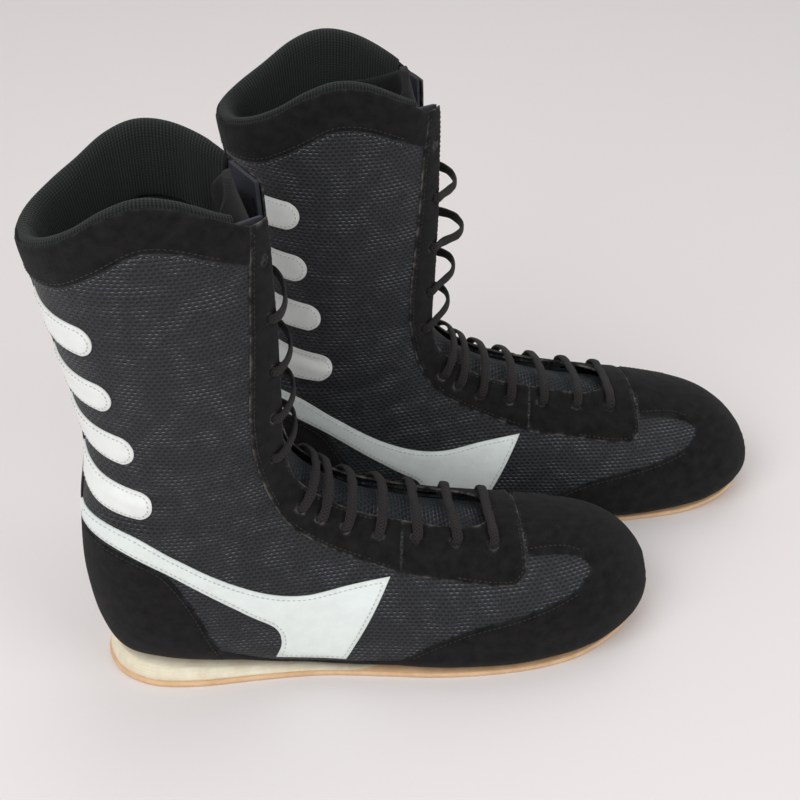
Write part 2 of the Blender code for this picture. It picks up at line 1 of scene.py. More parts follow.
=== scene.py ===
"""The looks of a pair of black high-top boxing boots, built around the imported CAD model.

Each boot is drawn as a right boot in millimetres: X from the back of the heel to the toe, Y to the
inner side of the foot, Z up from the floor. All layers of the upper follow one lofted surface, which
repeats the sections of part.py. A flat pattern is drawn on that surface unrolled, so that a piece's
outline, stitch rows and weave keep their size where the surface turns.
"""

import json
import math

import bpy
import numpy as np
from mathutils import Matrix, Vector, geometry


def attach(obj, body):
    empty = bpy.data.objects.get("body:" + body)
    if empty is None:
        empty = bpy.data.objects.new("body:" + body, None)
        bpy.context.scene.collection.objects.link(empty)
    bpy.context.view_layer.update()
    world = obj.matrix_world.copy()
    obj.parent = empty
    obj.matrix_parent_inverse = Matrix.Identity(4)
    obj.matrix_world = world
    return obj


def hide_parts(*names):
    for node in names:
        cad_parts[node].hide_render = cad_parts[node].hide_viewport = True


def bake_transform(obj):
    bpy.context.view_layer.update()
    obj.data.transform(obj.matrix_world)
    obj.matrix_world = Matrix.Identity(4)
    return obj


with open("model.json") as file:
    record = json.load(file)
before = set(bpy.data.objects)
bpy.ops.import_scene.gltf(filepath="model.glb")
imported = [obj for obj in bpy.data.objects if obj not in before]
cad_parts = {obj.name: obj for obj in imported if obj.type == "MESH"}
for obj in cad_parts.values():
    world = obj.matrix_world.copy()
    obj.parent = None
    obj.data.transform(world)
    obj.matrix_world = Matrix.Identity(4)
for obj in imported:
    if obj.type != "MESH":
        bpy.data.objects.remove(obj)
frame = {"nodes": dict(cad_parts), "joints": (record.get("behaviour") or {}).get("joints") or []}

MM = 0.001
SEED = 7

# From part.py: the ankle's axis, x and z, and the foot of the tongue, x, in the boot's own millimetres.
ANKLE = (52.0, 97.0)
TONGUE_X = 92.0
LEFT_LEAN = 2.0
LEFT_PRESS = 0.28
PRESS_ROWS = (19, 27)
# Columns of the table of sections.
OUTER_WIDTH = 4
WIDEST = 6

# Heights and places between which fabric turns from one body to the next.
ANKLE_TURN = (92.0, 126.0)
BALL_TURN = (190.0, 222.0)
TONGUE_TURN = (126.0, 150.0)

# From part.py: layers, throat, sole and lacing.
OUTSOLE = 3.0
WEDGE_AT_HEEL = 8.0
WEDGE_START_X = 27.0
# How far the wedge rises behind the heel.
HEEL_CURL = 3.0
WEDGE_END_X = 120.0
# How far the feathered end of the wedge runs on.
TAIL = 34.0
SPRING_START_X = 222.0
TOE_TIP_X = 285.0
TOE_SPRING = 7.5
MESH = 1.8
LINING_DEPTH = 3.2
FLAP_Y = 15.5
EYELET_Y = 22.0
FOOT_EYELETS = (7.1, 8.0, 8.95, 9.95, 11.0, 12.1, 13.2)
SHAFT_EYELETS = (18.1, 20.2, 22.3, 24.1)
TOP_EYELET = 26.0
EYELET_HOLE = 2.5
LACE_HALF_WIDTH = 2.6
LACE_HALF_THICK = 1.05
LACE_STEP = 1.1
# Where the throat piece meets the lace flaps, in side view.
THROAT_SEAM = (151.5, 70)
# Section number of the front edge of the toe cap, and the share of the way round of the low edges.
TIP_ROW = 0.3
LOW_SHARE = 0.02
FOOTBED_INSET = 12.0
SIDES = ((-1, "outer"), (1, "inner"))
# How far the pattern of the inner side is moved, so that it doesn't repeat the outer side's.
INNER_PATTERN_SHIFT = 41.0

# Bends between two bodies: the bodies, and where the bend starts and ends.
TURNS = {
    "ankle": ("foot", "shaft", (ANKLE[0], 0, ANKLE_TURN[0]), (ANKLE[0], 0, ANKLE_TURN[1])),
    "ball": ("foot", "toe", (BALL_TURN[0], 0, 20), (BALL_TURN[1], 0, 20)),
    "hinge": ("shaft", "tongue_flap", (TONGUE_X, 0, TONGUE_TURN[0]), (TONGUE_X, 0, TONGUE_TURN[1])),
}

# Name, place, width and power of each lamp, in metres and watts, and the point that they face.
LAMPS = (
    ("key", (-0.8, -1.0, 1.3), 1.2, 16.5), ("fill", (1.2, -0.9, 1.1), 1.2, 9.0),
    ("top", (0.1, 0.8, 1.7), 1.4, 5.0),
)
LAMP_TARGET = Vector((0, 0, 0.08))
# Half the width of the floor in metres, the camera's place, and how many degrees it looks down.
FLOOR = 4.0
CAMERA_PLACE = (-0.0187, -0.6953, 0.5853)
CAMERA_DOWN = 34.757

# From part.py: sections from toe to collar. Back x, z, front x, z, outer and inner half width, share
# of the way to the widest place, roundness behind and in front of it, sideways drift.
SECTIONS = np.array((
    (288.0, 20.2, 288.1, 20.8, 0.4, 0.4, 0.50, 2.0, 2.00, 6.0),
    (285.0, 12.0, 286.5, 30.0, 14.0, 14.0, 0.42, 2.4, 2.00, 6.0),
    (279.5, 9.3, 282.0, 38.5, 24.0, 22.5, 0.36, 3.0, 2.00, 5.5),
    (270.5, 7.0, 274.5, 47.0, 33.0, 30.5, 0.33, 3.6, 2.00, 5.0),
    (256.0, 4.9, 262.0, 55.5, 41.0, 38.0, 0.30, 4.4, 2.00, 3.7),
    (238.0, 3.9, 245.0, 62.0, 46.5, 43.0, 0.28, 5.0, 2.00, 2.5),
    (215.0, 3.7, 224.0, 67.0, 49.5, 46.0, 0.26, 5.0, 2.00, 1.5),
    (192.0, 3.7, 203.0, 72.0, 50.0, 46.0, 0.25, 5.0, 1.95, 1.0),
    (168.0, 3.7, 182.0, 78.0, 47.5, 43.5, 0.24, 4.8, 1.90, 0.7),
    (144.0, 3.7, 162.0, 85.0, 43.5, 40.0, 0.24, 4.4, 1.90, 0.5),
    (120.0, 4.0, 144.5, 92.0, 39.5, 37.0, 0.25, 4.2, 1.90, 0.2),
    (97.0, 5.8, 130.5, 98.5, 38.0, 35.5, 0.27, 4.0, 1.95, 0.0),
    (74.0, 7.8, 120.5, 105.0, 37.5, 35.5, 0.29, 3.8, 2.00, 0.0),
    (50.0, 9.9, 113.5, 111.0, 37.5, 36.0, 0.31, 3.6, 2.05, 0.0),
    (27.0, 12.0, 109.0, 116.0, 37.0, 36.0, 0.35, 3.2, 2.10, 0.0),
    (10.0, 16.5, 106.3, 120.5, 36.5, 35.5, 0.40, 2.7, 2.10, 0.0),
    (1.0, 33.0, 104.5, 125.0, 36.0, 35.0, 0.45, 2.3, 2.15, 0.0),
    (-2.5, 56.0, 103.0, 130.0, 35.5, 34.5, 0.47, 2.2, 2.20, 0.0),
    (-2.5, 80.0, 102.0, 136.5, 35.5, 34.5, 0.48, 2.1, 2.20, 0.0),
    (-0.5, 103.0, 101.3, 145.0, 36.0, 35.0, 0.49, 2.1, 2.20, 0.0),
    (3.0, 124.0, 100.8, 155.0, 36.5, 35.5, 0.50, 2.1, 2.25, 0.0),
    (4.5, 143.0, 100.5, 166.0, 37.0, 36.5, 0.50, 2.1, 2.30, 0.0),
    (2.5, 161.0, 100.3, 178.0, 38.0, 37.5, 0.50, 2.1, 2.30, 0.0),
    (-0.5, 180.0, 100.0, 192.0, 39.0, 38.5, 0.50, 2.1, 2.30, 0.0),
    (-4.0, 200.0, 99.6, 208.0, 40.0, 39.5, 0.50, 2.1, 2.30, 0.0),
    (-7.5, 220.0, 99.2, 224.0, 41.0, 40.5, 0.50, 2.1, 2.30, 0.0),
    (-10.5, 236.0, 98.6, 239.0, 42.0, 41.5, 0.50, 2.1, 2.30, 0.0),
    (-12.5, 250.0, 98.0, 252.0, 43.0, 42.5, 0.50, 2.1, 2.30, 0.0),
    (-11.5, 264.0, 97.5, 265.0, 43.0, 42.5, 0.50, 2.1, 2.30, 0.0),
    (-9.0, 282.0, 97.0, 282.0, 42.5, 42.0, 0.50, 2.1, 2.30, 0.0),
))

# Outlines in side view, x and z. Each run is a smooth line, and runs meet at corners.
RIM = ((-12.6, 250), (0, 256), (12, 263), (27, 273), (42, 278), (57, 276), (76, 267), (88, 258.5))
BAND_EDGE = ((-10.6, 233.5), (4, 236.5), (20, 246), (40, 257), (56, 256), (74, 248), (87, 241))
STAY_REAR = (
    (87.5, 259), (86.5, 241), (83.5, 183), (82, 155), (86, 123), (96, 97), (113, 81), (137, 68), (151.5, 62),
)
FACING_REAR = ((83, 262), (82, 241), (80, 210))
COUNTER_TOP = ((-3, 92), (3, 90), (20, 85), (35, 77), (44, 64), (51, 49), (56, 35), (61, 22), (65, 9))
RAND_TOP = ((60, 24), (68, 21), (80, 16), (92, 12.5), (120, 10.8), (152, 12.5))
TOE_RAND = ((149, 11.5), (156, 17), (166, 24), (186, 33), (206, 37), (227, 41), (242, 44.5), (249.5, 48.6))
WINDOW_TOP = ((249.5, 48.6), (250, 51), (246, 54.3), (238, 57.2), (228, 59), (218, 60.2))
THROAT_LOW = ((151.5, 61.7), (176, 57), (200, 52.6), (210, 52.2), (215.5, 55.5))
STRIPE_TOP = (
    (-0.6, 104), (12, 103), (24, 99), (44, 84.5), (68, 67.5), (88, 58.5), (104, 56), (125, 58.5), (146.5, 61),
)
STRIPE_END = ((146.5, 61), (138, 44), (128, 24), (123, 14))
STRIPE_FOOT = ((123, 14), (88, 17.8))
STRIPE_LOW = ((88, 17.8), (91, 28), (89, 37), (76, 47), (59, 60), (35, 78.5), (18, 88), (6, 92), (-2.3, 93))
# The four tabs at the back of the shaft: height of the middle, reach on the outer and inner side.
TABS = ((214.0, 19.0, 26.0), (183.0, 24.0, 30.0), (153.5, 31.0, 37.0), (123.0, 36.0, 43.0))
TAB_HALF = 9.5
TAB_DROP = 5.0
# Tabs whose middle is lower than this stay in place with the ankle's pieces, and the others ride on the
# shaft.
TAB_BEND_TOP = 150.0
BACK_STRIP = 4.5

# Plan of the sole: x, outer edge and inner edge.
SOLE_PLAN = np.array((
    (2.4, 0.0, 0.0), (3.5, -8.0, 8.0), (8.0, -18.5, 17.5), (15.0, -26.0, 25.0), (27.0, -32.5, 31.5),
    (48.0, -35.5, 34.0), (80.0, -35.0, 33.0), (110.0, -35.5, 33.5), (140.0, -40.0, 36.5),
    (170.0, -45.0, 40.5), (198.0, -46.5, 43.0), (222.0, -45.0, 43.0), (243.0, -40.0, 41.5),
    (259.0, -32.0, 37.5), (271.0, -23.0, 32.0), (280.0, -12.0, 24.0), (284.5, -2.0, 15.0), (285.6, 6.5, 6.5),
))

# Pull lines of the mesh round the ankle: two ends in side view, depth and half width.
CREASES = (
    ((6, 110), (46, 104), 1.3, 2.4), ((10, 128), (52, 118), 1.1, 2.6), ((34, 96), (84, 112), 0.9, 3.0),
    ((58, 128), (88, 142), 0.8, 3.0), ((20, 141), (60, 146), 0.6, 3.0), ((64, 86), (96, 92), 0.9, 2.8),
    ((72, 74), (110, 74), 0.7, 2.6), ((150, 30), (176, 48), 0.6, 3.0), ((160, 24), (200, 44), 0.5, 3.0),
)

random = np.random.default_rng(SEED)


# ---------------------------------------------------------------- lines and the lofted surface

def run_length(points):
    """How far along a line each of its points lies."""
    return np.concatenate(((0.0,), np.cumsum(np.linalg.norm(np.diff(points, axis=0), axis=1))))


def spline(points, step=1.5):
    """A smooth line through points, with a point about every step."""
    points = np.array(points, float)
    if len(points) == 2:
        count = max(1, round(float(np.linalg.norm(points[1] - points[0])) / step))
        share = np.linspace(0, 1, count + 1)[:, None]
        return points[0] + (points[1] - points[0]) * share
    knots = np.concatenate(((0.0,), np.cumsum(np.sqrt(np.linalg.norm(np.diff(points, axis=0), axis=1)))))
    slopes = np.gradient(points, knots, axis=0)
    made = []
    for k in range(len(points) - 1):
        gap = knots[k + 1] - knots[k]
        count = max(1, round(float(np.linalg.norm(points[k + 1] - points[k])) / step))
        t = (np.arange(count) / count)[:, None]
        made.append(
            (2 * t**3 - 3 * t**2 + 1) * points[k] + (t**3 - 2 * t**2 + t) * gap * slopes[k]
            + (3 * t**2 - 2 * t**3) * points[k + 1] + (t**3 - t**2) * gap * slopes[k + 1]
        )
    return np.concatenate([*made, points[-1:]])


EVEN_SECTIONS = SECTIONS


def pressed(depth):
    """The sections with the outer side of the shaft pressed in towards the rim by a share of its width."""
    rows = np.clip((np.arange(len(EVEN_SECTIONS)) - PRESS_ROWS[0]) / (PRESS_ROWS[1] - PRESS_ROWS[0]), 0, 1)
    made = EVEN_SECTIONS.copy()
    made[:, OUTER_WIDTH] *= 1 - depth * rows**2 * (3 - 2 * rows)
    return made


def section(numbers):
    """The numbers of the sections at places between those of the table, on smooth curves."""
    place = np.clip(np.asarray(numbers, float), 0, len(SECTIONS) - 1)
    first = np.minimum(place.astype(int), len(SECTIONS) - 2)
    part = (place - first)[..., None]
    a, b, c, d = (SECTIONS[np.clip(first + k, 0, len(SECTIONS) - 1)] for k in (-1, 0, 1, 2))
    turn = 2 * a - 5 * b + 4 * c - d
    return 0.5 * (2 * b + (c - a) * part + turn * part**2 + (3 * b - 3 * c + d - a) * part**3)


def contour(rows, side, angles):
    """Points of sections: angle 0 is a section's bottom or back, and pi its top or front."""
    back_x, back_z, front_x, front_z, outer, inner, widest, behind, ahead, drift = np.moveaxis(rows, -1, 0)
    cosine, sine = np.cos(angles), np.clip(np.sin(angles), 0, 1)
    power = 2 / np.where(cosine > 0, behind, ahead)
    reach = np.abs(cosine) ** power
    share = np.where(cosine > 0, widest * (1 - reach), widest + (1 - widest) * reach)
    half = outer if side < 0 else inner
    across = side * half * sine**power + drift
    x = back_x + (front_x - back_x) * share
    return np.stack([x, across, back_z + (front_z - back_z) * share], -1), share


def crease_height(points):
    """How far the pull lines and the slack of the fabric move points of the surface outwards."""
    x, z = points[..., 0], points[..., 2]
    height = 0.25 * np.sin(x * 0.11 + z * 0.05) * np.sin(z * 0.09 - x * 0.04)
    for start, end, depth, width in CREASES:
        run = np.subtract(end, start)
        along = ((x - start[0]) * run[0] + (z - start[1]) * run[1]) / (run @ run)
        away = ((x - start[0]) * run[1] - (z - start[1]) * run[0]) / np.linalg.norm(run)
        taper = np.sin(np.pi * np.clip(along, 0, 1)) ** 0.7
        groove = np.exp(-((away / width) ** 2)) - 0.6 * np.exp(-(((away - 2 * width) / width) ** 2))
        height = height - depth * taper * groove
    return height


class Half:
    """One side of the outer surface, in tables over the section number and the share of the way round."""

    STEP = 0.05
    COUNT = 241

    def __init__(self, side):
        self.side = side
        self.numbers = np.arange(0, len(SECTIONS) - 1 + self.STEP / 2, self.STEP)
        rows = section(self.numbers)
        fine, share = contour(rows[:, None], side, np.linspace(0, math.pi, 481)[None])
        steps = np.linalg.norm(np.diff(fine, axis=1), axis=2)
        along = np.concatenate((np.zeros((len(rows), 1)), np.cumsum(steps, axis=1)), 1)
        self.length = along[:, -1]
        stops = np.linspace(0, 1, self.COUNT)
        self.points = np.empty((len(rows), self.COUNT, 3))
        self.share = np.empty((len(rows), self.COUNT))
        self.widest = np.empty(len(rows))
        for k in range(len(rows)):
            for axis in range(3):
                self.points[k, :, axis] = np.interp(stops * along[k, -1], along[k], fine[k, :, axis])
            self.share[k] = np.interp(stops * along[k, -1], along[k], share[k])
            self.widest[k] = np.interp(rows[k, WIDEST], self.share[k], stops * along[k, -1])
        self.find_normals()
        self.points += self.normals * crease_height(self.points)[..., None]
        self.find_normals()
        ends = rows[:, [0, 1]], rows[:, [2, 3]]
        self.chord = (ends[0], ends[1] - ends[0])
        direction = self.chord[1] / np.linalg.norm(self.chord[1], axis=1, keepdims=True)
        self.flat = (ends[0] + self.chord[1] * rows[:, WIDEST : WIDEST + 1], direction)

    def find_normals(self):
        around = np.gradient(self.points, axis=1)
        along = np.gradient(self.points, axis=0)
        normals = np.cross(around, along) * -self.side
        normals[:, [0, -1], 1] = 0
        self.normals = normals / np.maximum(np.linalg.norm(normals, axis=2, keepdims=True), 1e-9)

    def at(self, numbers, shares):
        """Points and outward normals at section numbers and shares of the way round."""
        row = np.clip(np.asarray(numbers) / self.STEP, 0, len(self.numbers) - 1.001)
        column = np.clip(np.asarray(shares) * (self.COUNT - 1), 0, self.COUNT - 1.001)
        r, c = row.astype(int), column.astype(int)
        u, v = (row - r)[..., None], (column - c)[..., None]
        found = []
        for table in (self.points, self.normals):
            low = table[r, c] * (1 - v) + table[r, c + 1] * v
            high = table[r + 1, c] * (1 - v) + table[r + 1, c + 1] * v
            found.append(low * (1 - u) + high * u)
        return found[0], found[1] / np.linalg.norm(found[1], axis=-1, keepdims=True)

    def solve(self, lines, low, high, targets):
        """Section numbers whose lines pass through the targets, and how far along each line they lie."""
        origin, run = lines
        aside = targets[:, None] - origin[None]
        miss = run[None, :, 0] * aside[..., 1] - run[None, :, 1] * aside[..., 0]
        along = (aside * run[None]).sum(2) / (run * run).sum(1)[None]
        outside = np.maximum(low[None] - along, 0) + np.maximum(along - high[None], 0)
        cost = np.where(miss[:, :-1] * miss[:, 1:] <= 0, outside[:, :-1], np.inf)
        best = np.argmin(cost, axis=1)
        who = np.arange(len(targets))
        off = ~np.isfinite(cost[who, best])
        best[off] = np.argmin(np.abs(miss[off, :-1]) + 40 * outside[off, :-1], axis=1)
        a, b = miss[who, best], miss[who, best + 1]
        part = np.clip(a / np.where(np.abs(a - b) > 1e-12, a - b, 1), 0, 1)
        reach = along[who, best] * (1 - part) + along[who, best + 1] * part
        return (best + part) * self.STEP, reach

    def row_value(self, table, numbers):
        return np.interp(numbers, self.numbers, table)

    def from_side_view(self, line):
        """Section numbers and shares of the way round of points in side view."""
        ends = np.zeros(len(self.numbers)), np.ones(len(self.numbers))
        numbers, reach = self.solve(self.chord, *ends, np.asarray(line, float))
        rows = np.clip(np.rint(numbers / self.STEP).astype(int), 0, len(self.numbers) - 1)
        stops = np.linspace(0, 1, self.COUNT)
        shares = [np.interp(np.clip(t, 0, 1), self.share[r], stops) for t, r in zip(reach, rows)]
        return numbers, np.array(shares)

    def from_across(self, numbers, across):
        """Shares of the way round, in front of the widest place, at distances across."""
        shares = []
        for number, distance in zip(numbers, np.broadcast_to(across, np.shape(numbers))):
            row = min(int(round(number / self.STEP)), len(self.numbers) - 1)
            width = self.side * self.points[row, :, 1]
            peak = int(np.argmax(width))
            stops = np.linspace(0, 1, self.COUNT)[peak:]
            shares.append(np.interp(-distance, -width[peak:], stops))
        return np.array(shares)

    def unroll(self, numbers, shares):
        """Places on the unrolled surface."""
        length, widest = (self.row_value(table, numbers) for table in (self.length, self.widest))
        reach = np.asarray(shares) * length - widest
        origin = [self.row_value(self.flat[0][:, k], numbers) for k in (0, 1)]
        run = [self.row_value(self.flat[1][:, k], numbers) for k in (0, 1)]
        return np.stack([origin[k] + run[k] * reach for k in (0, 1)], -1)

    def roll(self, places):
        """Section numbers and shares of the way round of places on the unrolled surface."""
        numbers, reach = self.solve(self.flat, -self.widest, self.length - self.widest, places)
        return numbers, np.clip((reach + self.row_value(self.widest, numbers))
                                / self.row_value(self.length, numbers), 0, 1)

    # Lines of an outline, each as places on the unrolled surface.
    def side_line(self, points, step=1.5):
        return self.unroll(*self.from_side_view(spline(points, step)))

    def front_line(self, first, last, across, step=0.08):
        numbers = np.linspace(first, last, max(2, int(abs(last - first) / step)))
        return self.unroll(numbers, self.from_across(numbers, across))

    def ring_line(self, numbers, share):
        return self.unroll(numbers, np.broadcast_to(share, np.shape(numbers)))

    def line_to_centre(self, point, number, count):
        """A line from a point in side view to the centre line at a section number."""
        start = self.from_side_view([point])
        return self.unroll(np.linspace(start[0][0], number, count), np.linspace(start[1][0], 1.0, count))


# ---------------------------------------------------------------- flat patterns

def join_runs(runs):
    """One closed outline of runs one after the other, and whether each point is on a free edge."""
    places = np.concatenate([run for run, _ in runs])
    free = np.repeat([is_free for _, is_free in runs], [len(run) for run, _ in runs])
    keep = np.linalg.norm(places - np.roll(places, -1, axis=0), axis=1) > 0.02
    return places[keep], free[keep]


def inside(points, loop):
    """Whether points lie inside a closed flat loop."""
    x, y = points[:, None, 0], points[:, None, 1]
    ax, ay = loop[None, :, 0], loop[None, :, 1]
    bx, by = np.roll(loop, -1, axis=0)[None, :, 0], np.roll(loop, -1, axis=0)[None, :, 1]
    crosses = (ay > y) != (by > y)
    with np.errstate(divide="ignore", invalid="ignore"):
        hit = x < (bx - ax) * (y - ay) / (by - ay) + ax
    return (crosses & hit).sum(1) % 2 == 1


def distance_to(points, loop, free=None):
    """Distances from points to the free edges of a closed flat loop."""
    starts, ends = loop, np.roll(loop, -1, axis=0)
    if free is not None:
        starts, ends = starts[free], ends[free]
    run = ends - starts
    best = np.full(len(points), 1e9)
    for start, way in zip(starts, run):
        t = np.clip((points - start) @ way / max(way @ way, 1e-9), 0, 1)
        best = np.minimum(best, np.linalg.norm(points - start - t[:, None] * way, axis=1))
    return best


def fill(loop, holes, step):
    """A flat mesh of an outline with holes: places, triangles and each place's point of the outline."""
    low, high = loop.min(0), loop.max(0)
    columns = np.arange(low[0], high[0], step)
    rows = np.arange(low[1], high[1], step * 0.866)
    grid = np.array([(x + (k % 2) * step / 2, y) for k, y in enumerate(rows) for x in columns])
    grid = grid[inside(grid, loop)]
    grid = grid[distance_to(grid, loop) > 0.5 * step]
    for hole in holes:
        grid = grid[~inside(grid, hole)]
        grid = grid[distance_to(grid, hole) > 0.4 * step]
    rims = [loop, *holes]
    points = np.concatenate([*rims, grid])
    edges, start = [], 0
    for rim in rims:
        edges += [(start + k, start + (k + 1) % len(rim)) for k in range(len(rim))]
        start += len(rim)
    made = geometry.delaunay_2d_cdt([Vector(p) for p in points], edges, [], 0, 1e-5)
    places = np.array([tuple(v) for v in made[0]])
    triangles = np.array(made[2])
    middle = places[triangles].mean(1)
    keep = inside(middle, loop)
    for hole in holes:
        keep &= ~inside(middle, hole)
    used = np.unique(triangles[keep])
    index = np.full(len(places), -1)
    index[used] = np.arange(len(used))
    origins = [min(made[3][k], default=-1) for k in used]
    return places[used], index[triangles[keep]], np.array(origins)


def inset(loop, distance):
    """A closed loop moved inwards, without the points that come too near its edge."""
    way = np.roll(loop, -1, axis=0) - np.roll(loop, 1, axis=0)
    way /= np.maximum(np.linalg.norm(way, axis=1, keepdims=True), 1e-9)
    area = (loop[:, 0] * np.roll(loop[:, 1], -1) - np.roll(loop[:, 0], -1) * loop[:, 1]).sum()
    inward = np.stack([-way[:, 1], way[:, 0]], 1) * np.sign(area)
    moved = loop + inward * distance
    return moved[distance_to(moved, loop) > 0.93 * distance]


# ---------------------------------------------------------------- meshes

class Sheet:
    """Places of a layer of the upper: outer and inner points, faces, side of each face, flat places."""

    def __init__(self, outer, under, faces, sides, flat, edge):
        self.outer, self.under, self.faces = outer, under, faces
        self.sides, self.flat, self.edge = sides, flat, edge


def patch(halves, height, under=0.3, step=2.6, soft=0.8):
    """A layer cut to (side, runs, holes), for one side or for two that meet on the centre line."""
    parts = []
    for side, runs, holes in halves:
        half = HALVES[side]
        loop, free = join_runs(runs)
        places, triangles, origins = fill(loop, holes, step)
        away = distance_to(places, loop, free)
        for hole in holes:
            away = np.minimum(away, distance_to(places, hole))
        points, normals = half.at(*half.roll(places))
        rise = height * (1 - 0.55 * (1 - np.clip(away / soft, 0, 1)) ** 2)
        centre = np.zeros(len(places), bool)
        known = (origins >= 0) & (origins < len(loop))
        before = np.roll(free, 1)
        centre[known] = ~(free & before)[origins[known]]
        first, second, third = (points[triangles[:, k]] for k in range(3))
        way = np.cross(second - first, third - first)
        turned = (way * normals[triangles[:, 0]]).sum(1) < 0
        triangles[turned] = triangles[turned][:, ::-1]
        edge = np.clip(1 - away / 1.2, 0, 1)
        parts.append([points, normals, rise, triangles, places, centre, edge, side])
    if len(parts) == 2:
        first, second = parts
        start = len(first[0])
        index = np.arange(len(second[0])) + start
        mine = np.flatnonzero(first[5])
        for k in np.flatnonzero(second[5]):
            gaps = np.linalg.norm(first[0][mine] - second[0][k], axis=1)
            if gaps.min() < 0.4:
                index[k] = mine[np.argmin(gaps)]
        joined = [np.concatenate((first[k], second[k])) for k in (0, 1, 2)]
        faces = np.concatenate((first[3], index[second[3]]))
        sides = np.repeat((first[7], second[7]), (len(first[3]), len(second[3])))
        flat = np.zeros((2, len(joined[0]), 2))
        flat[0, :start] = first[4]
        flat[1, start:] = second[4]
        flat[1, index] = second[4]
        edge = np.concatenate((first[6], second[6]))
        points, normals, rise = joined
    else:
        points, normals, rise, faces, places, _, edge, side = parts[0]
        sides = np.full(len(faces), side)
        flat = np.stack((places, places))
    bad = (faces[:, 0] == faces[:, 1]) | (faces[:, 1] == faces[:, 2]) | (faces[:, 2] == faces[:, 0])
    return Sheet(
        points + normals * rise[:, None], points - normals * under, faces[~bad], sides[~bad], flat, edge
    )


def grid_sheet(numbers, shares, keep, out, under):
    """A layer that goes right round the boot, without the quads whose middle keep() refuses."""
    numbers, shares = np.asarray(numbers, float), np.asarray(shares, float)
    outer_n, outer_s = np.meshgrid(numbers, shares, indexing="ij")
    inner_n, inner_s = np.meshgrid(numbers, shares[-2:0:-1], indexing="ij")
    places = [OUTER.at(outer_n, outer_s), INNER.at(inner_n, inner_s)]
    points = np.concatenate((places[0][0], places[1][0]), 1)
    normals = np.concatenate((places[0][1], places[1][1]), 1)
    count, turns = points.shape[1], len(shares) - 1
    all_n = np.repeat(numbers[:, None], count, 1)
    all_s = np.concatenate((outer_s, inner_s), 1)
    flat = np.stack([HALVES[side].unroll(all_n.ravel(), all_s.ravel()) for side in (-1, 1)])
    faces, sides = [], []
    for r in range(len(numbers) - 1):
        for k in range(count):
            a, b = r * count + k, r * count + (k + 1) % count
            faces.append((a, b, b + count, a + count))
            sides.append(-1 if k < turns else 1)
    faces, sides = np.array(faces), np.array(sides)
    points, normals = points.reshape(-1, 3), normals.reshape(-1, 3)
    kept = keep(points[faces].mean(1))
    faces, sides = faces[kept], sides[kept]
    way = np.cross(points[faces[:, 1]] - points[faces[:, 0]], points[faces[:, 3]] - points[faces[:, 0]])
    if (way * normals[faces[:, 0]]).sum() < 0:
        faces = faces[:, ::-1]
    return Sheet(points + normals * out, points - normals * under, faces, sides, flat, np.zeros(len(points)))


